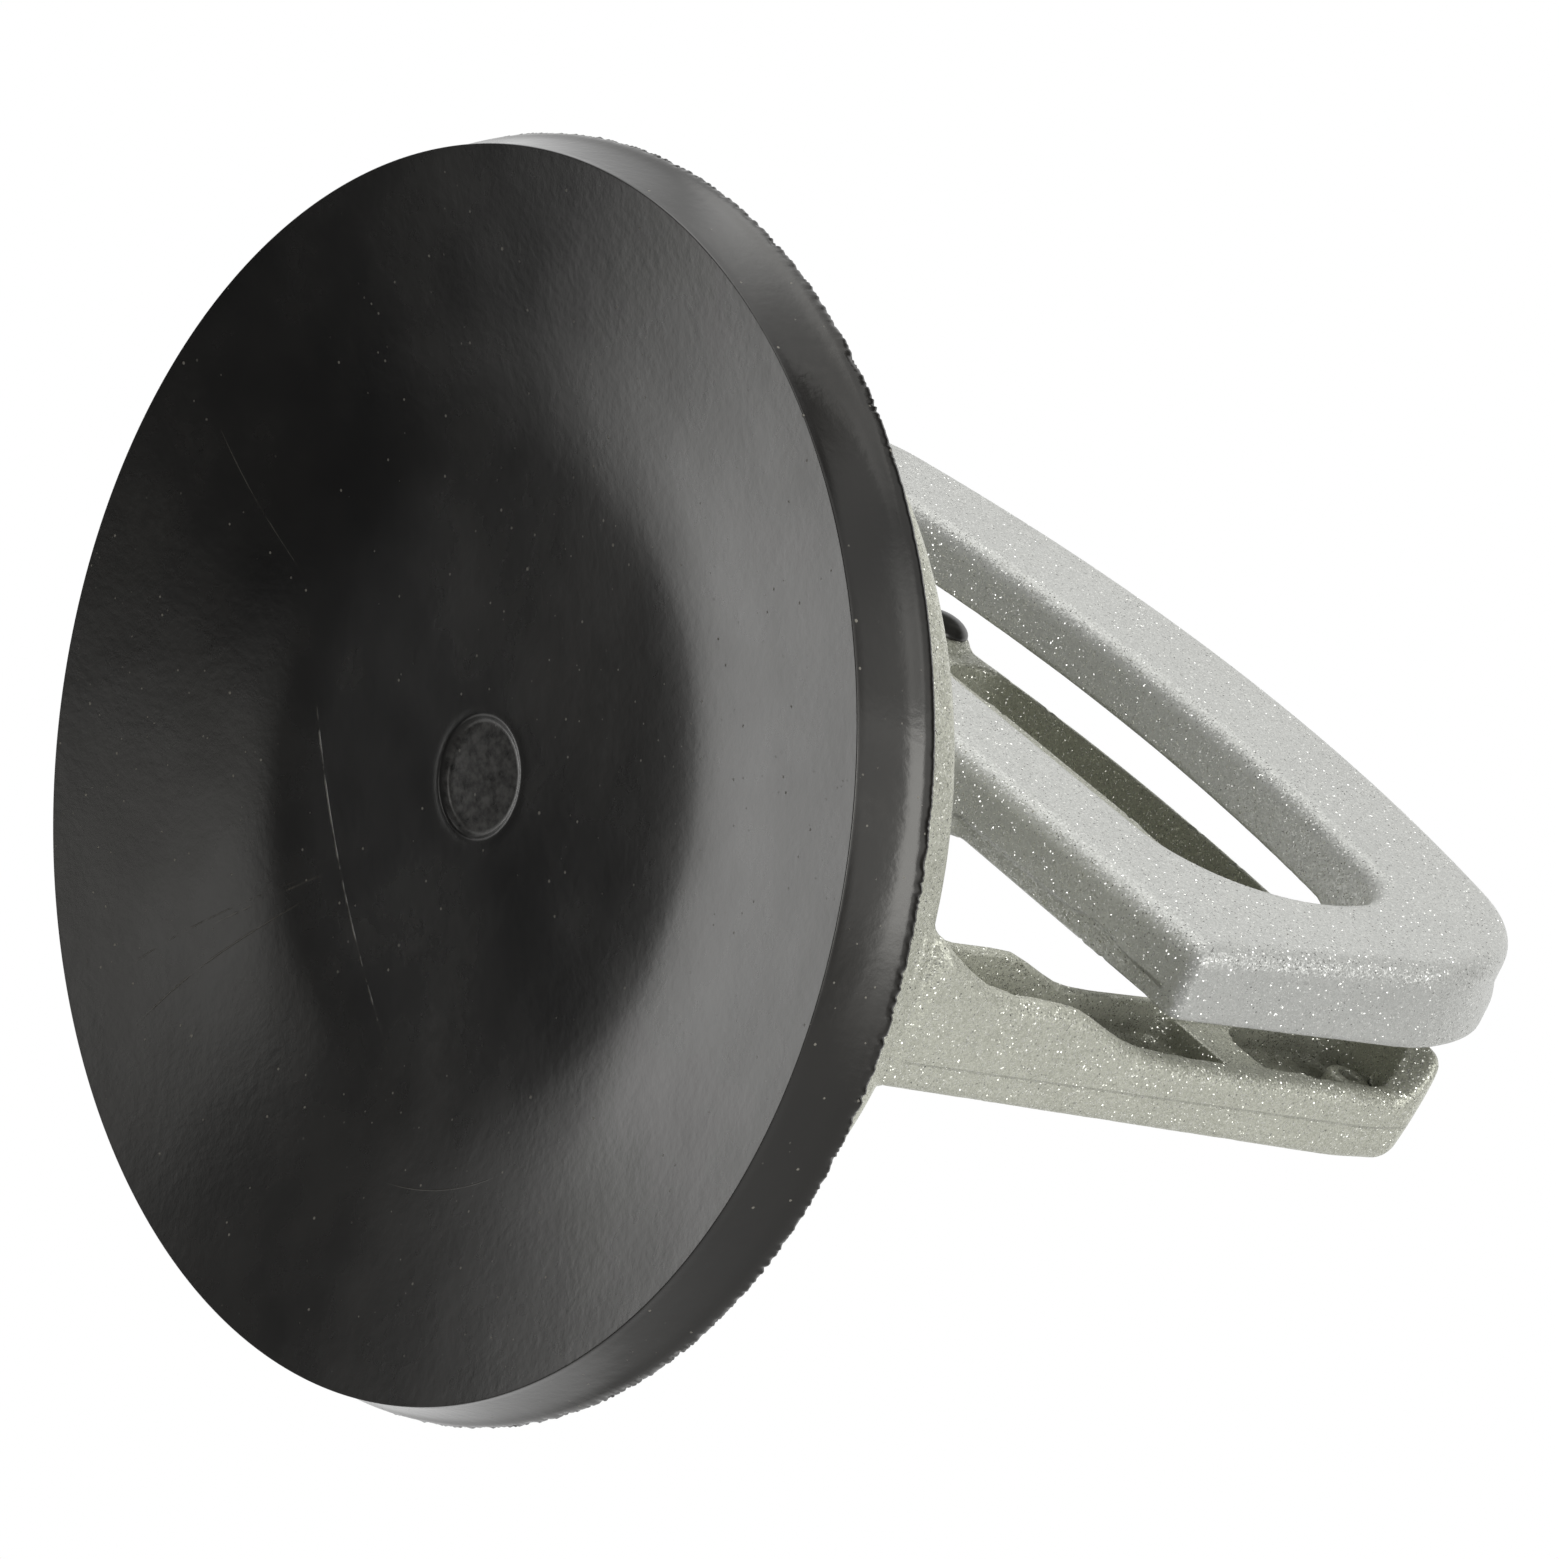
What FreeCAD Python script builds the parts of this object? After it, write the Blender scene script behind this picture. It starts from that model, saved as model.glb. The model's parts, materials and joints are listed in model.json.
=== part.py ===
import FreeCAD, Part
import os, math

# Single-cup suction lifter with a cam lever. Millimetres.
# Frame: the suction face's lip lies in the plane Z = 0 and the cup's axis is Z.
# +Z points from the cup to the handle, X runs along the handle, and the lever
# stands on the -Y side of the fixed bow.

V = FreeCAD.Vector

# ---- rubber cup -------------------------------------------------------------
LIP_R = 57.9            # outer radius of the lip, at Z = 0
LIP_FLAT_R = 56.3       # inner radius of the flat land of the lip
PAD_BACK_R = 60.0       # radius of the flared rear edge
PAD_BACK_Z = 7.0        # height of the rear edge
DISH_Z = 7.45           # depth of the dish beside the dimple
DIMPLE_R = 5.6          # radius of the centre dimple
DIMPLE_Z = 7.95         # depth of the dimple's floor
PAD_SEAT_Z = 7.8        # the rubber's rear land, under the housing's skirt
PAD_TOP_Z = 13.2        # top of the rubber around the insert's hub

# ---- steel insert, stud, nut ------------------------------------------------
INSERT_R = 22.0
INSERT_Z0, INSERT_Z1 = 9.5, 11.5
HUB_R, HUB_Z1 = 7.0, 14.5
THREAD_R = 3.4
SHANK_R = 4.0
NUT_AF = 13.0
NUT_Z0, NUT_Z1 = 14.6, 17.6

# ---- housing ----------------------------------------------------------------
SKIRT_R = 50.65         # the rim of the housing, which presses on the rubber
SKIRT_Z0 = 7.95
WALL_R = 49.0           # side wall at the roof's edge
ROOF_EDGE_Z = 21.4
BOSS_R, BOSS_Z = 15.5, 24.0
BUSH_R = 6.0            # bush outside radius, and the hole in the roof
BUSH_BORE_R = 4.3
WEAR_T = 1.2            # cam wear plate
WEAR_Z1 = BOSS_Z + WEAR_T

# ---- fixed bow (built in its own plane, leaning back by BOW_LEAN) ------------
BOW_LEAN = 0.0336       # tangent of the lean towards +Y
BOW_BACK = 2.5          # +Y distance of the bow's back face at Z = 20
LEG_X0 = 49.0           # leg's outer face at u = 0 (Z = 20)
LEG_FLARE = 0.128       # outward flare of the leg, mm per mm of height
LEG_IN_X = 38.2         # inner face of the legs
BOW_TOP_U = 72.5        # top of the grip bar, measured along the bow from Z = 20
BOW_CROWN = 0.0022      # arch of the grip bar
BOW_TAPER = 0.85        # how much lower the grip's outer face is at the back
BOW_PART_W = 9.0        # height of the parting line, where the outer face bulges
BOW_BULGE = 0.25
BOW_FRONT = 0.65        # how much lower the grip's outer face is at the front
BOW_CORNER_R = 2.2
GRIP_W = 13.2           # width of the grip bar
RIM_GRIP = 12.25        # height of the grip's rims above the back face
FLOOR_T = 2.7           # floor of the channel
RIM_T = 2.3             # wall of the channel
RIB_U0, RIB_U1 = 43.2, 48.8   # cross-rib between the legs' two pockets
POCKET_R = 5.0          # corner radius of the upper pockets

# ---- buffer on the grip bar, under the lever's arc -----------------------------
BUF_X, BUF_U = -28.6, 67.2
BUF_R = 3.45
BUF_BASE_W = 13.1
BUF_TOP_W = 14.8

# ---- hinge -------------------------------------------------------------------
PIN_R = 3.0
PIN_CLR = 0.06
CAM_H0 = 8.2            # pin axis above the wear plate in the rest pose
PIN_Z = WEAR_Z1 + CAM_H0
CAM_RATE = 4.297        # lift per radian of lever turn (3 mm in 40 degrees)
CAM_GAP = 0.30
OPEN_DEG, CLOSE_DEG = 38.0, -3.3
EYE_R, EYE_HALF = 6.5, 5.0
EAR_X0, EAR_X1 = 5.9, 11.3
PIN_HALF = 13.4

# ---- lever -------------------------------------------------------------------
LEV_TILT = 0.094        # tangent of the lever plane's lean towards -Y
LEV_N0 = 16.72          # -Y of the lever's top face at Z = 53
LEV_Z1 = 47.6           # outer edge of the base bar
LEV_Z2 = 59.2           # inner edge of the base bar
LEV_IN_TOP = 85.7       # inner edge of the grip arc at X = 0
LEV_IN_CROWN = 0.0026
LEV_OUT_TOP = 100.6     # outer edge of the grip arc at X = 0
LEV_OUT_CROWN = 0.0029
LEV_END_X = 54.1        # end of the base bar
LEV_END_FLARE = 0.207
LEV_IN_X = 46.5         # half length of the finger opening
LEV_T1 = 7.6            # thickness at the base bar
LEV_T2 = 9.0            # thickness at the far end of the end members
LEV_TG = 6.35           # thickness of the grip arc
LEV_SKIN = 2.7
LEV_WALL = 2.3
STEM_X1 = 21.0          # half width of the stem where it meets the base bar
STEM_MID = 14.0         # half width of the stem's full-height middle
STEM_DROP = 5.5         # how much lower the stem's flanks are
STEM_X0 = EAR_X1
LEV_EDGE_R = 1.9        # rounding of the lever's top edges


def poly_face(pts):
    """Closed polygon of vectors as a face."""
    return Part.Face(Part.makePolygon(list(pts) + [pts[0]]))


def revolve(rz):
    """Turn a closed (r, z) polygon about the Z axis."""
    return poly_face([V(r, 0, z) for r, z in rz]).revolve(V(0, 0, 0), V(0, 0, 1), 360)


def cyl(r, z0, z1):
    return Part.makeCylinder(r, z1 - z0, V(0, 0, z0))


def xcyl(r, x0, x1, z):
    return Part.makeCylinder(r, x1 - x0, V(x0, 0, z), V(1, 0, 0))


def clean(s):
    s = s.removeSplitter()
    if s.ShapeType == "Compound" and len(s.Solids) == 1:
        s = s.Solids[0]
    return s


def arc3(a, b, c):
    return Part.Arc(a, b, c).toShape()


def line(a, b):
    return Part.LineSegment(a, b).toShape()


def mirrored(s):
    """The copy on the other side of the plane X = 0."""
    return s.mirror(V(0, 0, 0), V(1, 0, 0))


# =============================================================================
# rubber cup
# =============================================================================
def make_pad():
    face_pts = [(DIMPLE_R + 0.9, DISH_Z), (14, 7.42), (21, 7.36), (27, 7.18), (31, 6.84), (35, 6.08),
                (39, 4.98), (43, 3.80), (47, 2.62), (51, 1.48), (54, 0.64), (LIP_FLAT_R, 0.0)]
    sp = Part.BSplineCurve()
    sp.interpolate([V(r, 0, z) for r, z in face_pts])
    edges = [line(V(0, 0, DIMPLE_Z), V(DIMPLE_R - 1.0, 0, DIMPLE_Z)),
             arc3(V(DIMPLE_R - 1.0, 0, DIMPLE_Z), V(DIMPLE_R - 0.25, 0, DIMPLE_Z - 0.35),
                  V(DIMPLE_R, 0, DISH_Z - 0.1)),
             line(V(DIMPLE_R, 0, DISH_Z - 0.1), V(DIMPLE_R + 0.9, 0, DISH_Z)),
             sp.toShape()]
    rest = [(LIP_FLAT_R, 0), (LIP_R - 0.3, 0), (LIP_R, 0.35), (58.55, 2.4), (PAD_BACK_R, PAD_BACK_Z),
            (PAD_BACK_R - 0.3, 7.35), (55.4, PAD_SEAT_Z), (46.2, PAD_SEAT_Z), (45.6, 9.7),
            (27, 12.7), (HUB_R + 0.15, PAD_TOP_Z), (HUB_R + 0.15, INSERT_Z1 + 0.1),
            (INSERT_R + 0.1, INSERT_Z1 + 0.1), (INSERT_R + 0.1, INSERT_Z0 - 0.1),
            (0, INSERT_Z0 - 0.1), (0, DIMPLE_Z)]
    for a, b in zip(rest[:-1], rest[1:]):
        edges.append(line(V(a[0], 0, a[1]), V(b[0], 0, b[1])))
    w = Part.Wire(Part.__sortEdges__(edges))
    return Part.Face(w).revolve(V(0, 0, 0), V(0, 0, 1), 360)


# =============================================================================
# insert plate, stud, lock nut, bush, wear plate, pin, washers, clips
# =============================================================================
def make_insert():
    s = cyl(INSERT_R, INSERT_Z0, INSERT_Z1).fuse(cyl(HUB_R, INSERT_Z1, HUB_Z1))
    s = s.cut(cyl(THREAD_R, INSERT_Z0 + 0.8, HUB_Z1 + 1))
    # anchor holes that the rubber would key into
    for k in range(6):
        a = math.radians(60 * k + 30)
        s = s.cut(Part.makeCylinder(2.0, 4, V(16 * math.cos(a), 16 * math.sin(a), INSERT_Z0 - 1)))
    return clean(s)


def make_stud():
    # threaded end in the hub, plain shank through the bush, flat-sided eye on top
    s = cyl(THREAD_R - 0.05, INSERT_Z0 + 1.0, HUB_Z1 + 0.05)
    s = s.fuse(cyl(SHANK_R, HUB_Z1 + 0.05, PIN_Z - 3.0))
    s = s.fuse(xcyl(EYE_R, -EYE_HALF, EYE_HALF, PIN_Z))
    s = s.cut(xcyl(PIN_R + 0.02, -20, 20, PIN_Z))
    return clean(s)


def make_nut():
    r = NUT_AF / math.sqrt(3.0)
    pts = [V(r * math.cos(math.radians(60 * k)), r * math.sin(math.radians(60 * k)), NUT_Z0)
           for k in range(6)]
    s = poly_face(pts).extrude(V(0, 0, NUT_Z1 - NUT_Z0))
    # chamfered corners, as a turned nut has
    cone = Part.makeCone(r + 0.9, r - 0.45, 1.35, V(0, 0, NUT_Z1 - 1.0))
    body = cyl(r + 0.9, NUT_Z0 - 1, NUT_Z1 - 1.0)
    s = s.common(cone.fuse(body))
    return clean(s.cut(cyl(SHANK_R + 0.04, NUT_Z0 - 1, NUT_Z1 + 1)))


def make_bush():
    s = cyl(BUSH_R - 0.02, 19.3, 23.2).fuse(cyl(8.5, 18.2, 19.36))
    return clean(s.cut(cyl(BUSH_BORE_R, 17, BOSS_Z + 1)))


def make_wear_plate():
    s = Part.makeBox(23.0, 22.0, WEAR_T, V(-11.5, -9.5, BOSS_Z))
    s = s.common(cyl(14.2, BOSS_Z - 1, WEAR_Z1 + 1))
    return clean(s.cut(cyl(6.9, BOSS_Z - 1, WEAR_Z1 + 1)))


def make_pin():
    s = xcyl(PIN_R, -PIN_HALF, PIN_HALF, PIN_Z)
    for x in (11.6, -12.4):
        s = s.cut(xcyl(PIN_R + 1, x, x + 0.8, PIN_Z).cut(xcyl(PIN_R - 0.55, x - 1, x + 2, PIN_Z)))
    ends = [e for e in s.Edges if e.Curve.TypeId == "Part::GeomCircle"
            and abs(abs(e.CenterOfMass.x) - PIN_HALF) < 1e-3]
    return clean(s.makeChamfer(0.5, ends))


def make_washers():
    out = []
    for x in (EYE_HALF + 0.08, -EYE_HALF - 0.08 - 0.7):
        out.append(xcyl(5.3, x, x + 0.7, PIN_Z).cut(xcyl(PIN_R + 0.12, x - 1, x + 2, PIN_Z)))
    return Part.makeCompound(out)


def make_clips():
    out = []
    for x in (11.62, -12.38):
        s = xcyl(4.9, x, x + 0.76, PIN_Z).cut(xcyl(PIN_R - 0.5, x - 1, x + 2, PIN_Z))
        # the open mouth of the E clip points up
        s = s.cut(Part.makeBox(3, 3.6, 8, V(x - 1, -1.8, PIN_Z)))
        for a in (-60, 60):
            yy, zz = 4.9 * math.sin(math.radians(a)), -4.9 * math.cos(math.radians(a))
            s = s.cut(xcyl(0.9, x - 1, x + 2, PIN_Z + zz).translated(V(0, yy, 0)))
        out.append(clean(s))
    return Part.makeCompound(out)


# =============================================================================
# body casting: housing and fixed bow
# =============================================================================
def make_housing():
    p = [(BUSH_R, BOSS_Z), (BOSS_R - 0.8, BOSS_Z), (BOSS_R, BOSS_Z - 0.6), (BOSS_R + 1.2, 23.0),
         (30.0, 22.5), (46.2, ROOF_EDGE_Z), (47.6, 21.2), (48.6, 20.5), (WALL_R + 0.02, 19.6),
         (SKIRT_R, SKIRT_Z0), (46.6, SKIRT_Z0), (46.1, 13.6), (44.9, 16.2), (42.0, 17.9),
         (30.0, 18.7), (12.0, 19.4), (BUSH_R, 19.4)]
    return revolve(p)


def bow_frame():
    """Placement that takes bow coordinates (x, u, w) to the row frame:
    u climbs the bow's back face from Z = 20, w is the height above that face."""
    b = math.atan(BOW_LEAN)
    m = FreeCAD.Matrix(1, 0, 0, 0,
                       0, math.sin(b), -math.cos(b), BOW_BACK,
                       0, math.cos(b), math.sin(b), 20.0,
                       0, 0, 0, 1)
    return m


def corner(top_u, crown, x0, flare, rc):
    """Circle of radius rc tangent to the leg's outer line x = x0 + flare u and,
    from inside, to the crowned top; returns centre, foot on the leg, foot on the top."""
    ra = 1.0 / (2.0 * crown)
    oc = top_u - ra
    n = math.hypot(1.0, flare)
    lo, hi = 0.0, top_u
    for _ in range(80):
        cu = 0.5 * (lo + hi)
        cx = x0 + flare * cu - rc * n
        d = math.hypot(cx, cu - oc)
        if d > ra - rc:
            hi = cu
        else:
            lo = cu
    fx, fu = cx + rc / n, cu - rc * flare / n
    k = ra / math.hypot(cx, cu - oc)
    return (cx, cu), (fx, fu), (cx * k, oc + (cu - oc) * k)


def arch_wire(top_u, crown, x0, flare, rc, u0, w):
    """Closed outline: two flared sides, two rounded corners, a crowned top."""
    (cx, cu), leg, top = corner(top_u, crown, x0, flare, rc)
    a0 = math.atan2(leg[1] - cu, leg[0] - cx)
    a1 = math.atan2(top[1] - cu, top[0] - cx)
    am = 0.5 * (a0 + a1)
    mid = (cx + rc * math.cos(am), cu + rc * math.sin(am))
    xb = x0 + flare * u0
    P = lambda x, u: V(x, u, w)
    e = [line(P(-xb, u0), P(xb, u0)),
         line(P(xb, u0), P(*leg)),
         arc3(P(*leg), P(*mid), P(*top)),
         arc3(P(*top), P(0, top_u), P(-top[0], top[1])),
         arc3(P(-top[0], top[1]), P(-mid[0], mid[1]), P(-leg[0], leg[1])),
         line(P(-leg[0], leg[1]), P(-xb, u0))]
    return Part.Wire(e)


def slot_solid(x0, x1, u0, u1, r, w0, w1, flare=0.0):
    """Rounded pocket; its outer side flares with the leg."""
    f = lambda x, u: V(x, u, w0)
    s = poly_face([f(x0, u0), f(x1, u0), f(x1 + flare * (u1 - u0), u1), f(x0, u1)]).extrude(V(0, 0, w1 - w0))
    ed = [e for e in s.Edges if abs(e.tangentAt(e.FirstParameter).z) > 0.99]
    return s.makeFillet(r, ed)


def make_bow():
    top_w = 15.2
    # outer form, a little shorter at the back face
    back = arch_wire(BOW_TOP_U - BOW_TAPER, BOW_CROWN, LEG_X0, LEG_FLARE, BOW_CORNER_R, -0.6, 0.0)
    mid = arch_wire(BOW_TOP_U + BOW_BULGE, BOW_CROWN, LEG_X0, LEG_FLARE, BOW_CORNER_R, -0.6, BOW_PART_W)
    front = arch_wire(BOW_TOP_U - BOW_FRONT, BOW_CROWN, LEG_X0, LEG_FLARE, BOW_CORNER_R, -0.6, top_w)
    s = Part.makeLoft([back, mid, front], True, True)
    # the hand's window
    win = arch_wire(BOW_TOP_U - GRIP_W, BOW_CROWN, LEG_IN_X, 0.02, 9.0, -2.0, -2.0)
    s = s.cut(Part.Face(win).extrude(V(0, 0, 24)))
    # rim heights of the legs, from the root's flare to the corner
    prof = [(-2, 15.2), (-0.5, 15.1), (1.7, 14.57), (3.35, 13.5), (5.9, 12.15), (8.9, 10.9), (12.1, 10.4),
            (17.4, 10.3), (19.9, 10.1), (22.1, 9.4), (24.6, 8.45), (27.1, 7.65), (29.6, 7.2), (32.7, 7.05),
            (42.8, 7.0), (58.7, 7.25), (60.2, 7.8), (61.6, 9.2), (63.2, 11.2), (64.6, RIM_GRIP), (65.0, 18), (-2, 18)]
    cutp = poly_face([V(33.0, u, w) for u, w in prof]).extrude(V(40, 0, 0))
    s = s.cut(cutp).cut(mirrored(cutp))
    s = s.cut(Part.makeBox(160, 40, 10, V(-80, BOW_TOP_U - 30, RIM_GRIP)))
    # pockets of the legs and corners
    for sgn in (1, -1):
        p1 = slot_solid(LEG_IN_X + RIM_T + 0.4, LEG_X0 + 0.4 - RIM_T, 3.2, RIB_U0, 2.2, FLOOR_T, 30, LEG_FLARE)
        p2 = slot_solid(LEG_IN_X + RIM_T + 1.2, LEG_X0 + LEG_FLARE * RIB_U1 - RIM_T, RIB_U1, 65.2, POCKET_R, FLOOR_T,
                        30, LEG_FLARE)
        boss = Part.makeCylinder(2.2, 4.1, V(49.0, 61.6, 0.5))
        p2 = p2.cut(boss)
        if sgn < 0:
            p1, p2 = mirrored(p1), mirrored(p2)
        s = s.cut(p1).cut(p2)
    # long pocket of the grip bar
    r0, r1 = BOW_TOP_U - 10.1, BOW_TOP_U - 1.6
    h0, h1 = -21.9, 27.0
    c = lambda u, x: u - BOW_CROWN * x * x
    P = lambda x, u: V(x, u, FLOOR_T)
    f = Part.Face(Part.Wire([arc3(P(h0, c(r0, h0)), P(0, r0), P(h1, c(r0, h1))),
                             line(P(h1, c(r0, h1)), P(h1, c(r1, h1))),
                             arc3(P(h1, c(r1, h1)), P(0, r1), P(h0, c(r1, h0))),
                             line(P(h0, c(r1, h0)), P(h0, c(r0, h0)))]))
    pk = f.extrude(V(0, 0, 20))
    ed = [e for e in pk.Edges if abs(e.tangentAt(e.FirstParameter).z) > 0.99]
    s = s.cut(pk.makeFillet(3.7, ed))
    # post that carries the buffer
    s = s.fuse(Part.makeCone(BUF_R + 0.3, BUF_R, BUF_BASE_W - 8.0, V(BUF_X, BUF_U, 8.0)))
    s = s.cut(Part.makeCylinder(1.6, 4.0, V(BUF_X, BUF_U, BUF_BASE_W - 4.0)))
    s = clean(s)
    return s.transformed(bow_frame(), True)


def make_buffer():
    """Rubber dome with a peg in its post."""
    h = BUF_TOP_W - BUF_BASE_W
    rs = (BUF_R * BUF_R + h * h) / (2 * h)
    dome = Part.makeSphere(rs, V(BUF_X, BUF_U, BUF_TOP_W - rs)).common(
        Part.makeCylinder(BUF_R - 0.1, 10, V(BUF_X, BUF_U, BUF_BASE_W + 0.02)))
    peg = Part.makeCylinder(1.5, 3.6, V(BUF_X, BUF_U, BUF_BASE_W - 3.5))
    return clean(dome.fuse(peg)).transformed(bow_frame(), True)


def make_body():
    # the legs' roots keep inside the housing's wall
    trim = revolve([(0, 15), (WALL_R + 0.15, 15), (WALL_R + 0.15, 21.0), (75, 46.7), (75, 120), (0, 120)])
    s = make_housing().fuse(make_bow().common(trim))
    # low ribs on the roof, from the boss to the legs' roots
    for sgn in (1, -1):
        for y in (-5.5, 4.0):
            rib = poly_face([V(14.0 * sgn, y, 21.5), V(14.0 * sgn, y, 24.0), V(20.0 * sgn, y, 24.2),
                             V(39.0 * sgn, y, 24.6), V(39.0 * sgn, y, 21.0)]).extrude(V(0, 2.4, 0))
            s = s.fuse(rib)
    return clean(s)


# =============================================================================
# lever
# =============================================================================
def lev_top(z):
    return LEV_N0 + LEV_TILT * (z - 53.0)


def bez(p0, p1, p2, p3, n):
    out = []
    for i in range(1, n + 1):
        t = i / n
        out.append(tuple((1 - t) ** 3 * a + 3 * (1 - t) ** 2 * t * b + 3 * (1 - t) * t * t * c + t ** 3 * d
                         for a, b, c, d in zip(p0, p1, p2, p3)))
    return out


def spline(pts, y):
    c = Part.BSplineCurve()
    c.interpolate([V(x, y, z) for x, z in pts])
    return c.toShape()


def ring_outer(off, y):
    """Outline of the ring, inset by off, in the plane Y = y."""
    n = math.hypot(1, LEV_END_FLARE)
    ex = lambda z: LEV_END_X + LEV_END_FLARE * (z - LEV_Z1) - off * n
    z1 = LEV_Z1 + off
    zt = lambda x: LEV_OUT_TOP - off - LEV_OUT_CROWN * x * x
    zs = 72.5
    p0 = (ex(zs), zs)
    xt = 40.0 - 0.35 * off
    p3 = (xt, zt(xt))
    d0 = (LEV_END_FLARE / n, 1.0 / n)
    g = 2 * LEV_OUT_CROWN * xt
    d3 = (1.0 / math.hypot(1, g), -g / math.hypot(1, g))
    k0, k3 = 13.2 - 0.62 * off, 11.6 - 0.55 * off
    cor = [p0] + bez(p0, (p0[0] + d0[0] * k0, p0[1] + d0[1] * k0), (p3[0] + d3[0] * k3, p3[1] + d3[1] * k3), p3, 8)
    P = lambda a: V(a[0], y, a[1])
    M = lambda a: V(-a[0], y, a[1])
    mir = [(-x, z) for x, z in reversed(cor)]
    e = [line(V(-ex(z1), y, z1), V(ex(z1), y, z1)), line(V(ex(z1), y, z1), P(p0)), spline(cor, y),
         arc3(P(p3), V(0, y, zt(0)), M(p3)), spline(mir, y), line(M(p0), V(-ex(z1), y, z1))]
    return Part.Wire(e)


def ring_inner(off, y):
    """Outline of the finger opening, grown by off."""
    xm = LEV_IN_X + off
    z2 = LEV_Z2 - off
    zt = lambda x: LEV_IN_TOP + off - LEV_IN_CROWN * x * x
    rb = 15.0 + off
    rt = 5.5 + 0.6 * off
    cb = (xm - rb, z2 + rb)
    s = math.sqrt(0.5)
    # upper corner: circle tangent to x = xm and to the crowned edge
    ra = 1.0 / (2.0 * LEV_IN_CROWN)
    oc = LEV_IN_TOP + off - ra
    cx = xm - rt
    cz = oc + math.sqrt((ra - rt) ** 2 - cx * cx)
    k = ra / math.hypot(cx, cz - oc)
    tp = (cx * k, oc + (cz - oc) * k)
    am = 0.5 * math.atan2(tp[1] - cz, tp[0] - cx)
    P = lambda x, z: V(x, y, z)
    e = []
    e.append(line(P(-cb[0], z2), P(cb[0], z2)))
    e.append(arc3(P(cb[0], z2), P(cb[0] + rb * s, cb[1] - rb * s), P(xm, cb[1])))
    e.append(line(P(xm, cb[1]), P(xm, cz)))
    mid = (cx + rt * math.cos(am), cz + rt * math.sin(am))
    e.append(arc3(P(xm, cz), P(*mid), P(*tp)))
    e.append(arc3(P(*tp), P(0, zt(0)), P(-tp[0], tp[1])))
    e.append(arc3(P(-tp[0], tp[1]), P(-mid[0], mid[1]), P(-xm, cz)))
    e.append(line(P(-xm, cz), P(-xm, cb[1])))
    e.append(arc3(P(-xm, cb[1]), P(-cb[0] - rb * s, cb[1] - rb * s), P(-cb[0], z2)))
    return Part.Wire(e)


def side_block(nz, x0, x1):
    """Polygon given as (n, z), n = -Y, extruded from x0 to x1."""
    return poly_face([V(x0, -n, z) for n, z in nz]).extrude(V(x1 - x0, 0, 0))


def cam_profile():
    """(y, z) points of the cam about the pin, as the envelope of the wear plate."""
    pts = []
    for i in range(0, 21):
        a = math.radians(CLOSE_DEG - 1.0 + (OPEN_DEG - CLOSE_DEG + 2.0) * i / 20.0)
        h = CAM_H0 - CAM_GAP - CAM_RATE * a
        d = (-math.sin(a), -math.cos(a))
        dp = (-math.cos(a), math.sin(a))
        pts.append((h * d[0] - CAM_RATE * dp[0], h * d[1] - CAM_RATE * dp[1]))
    return pts


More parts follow.
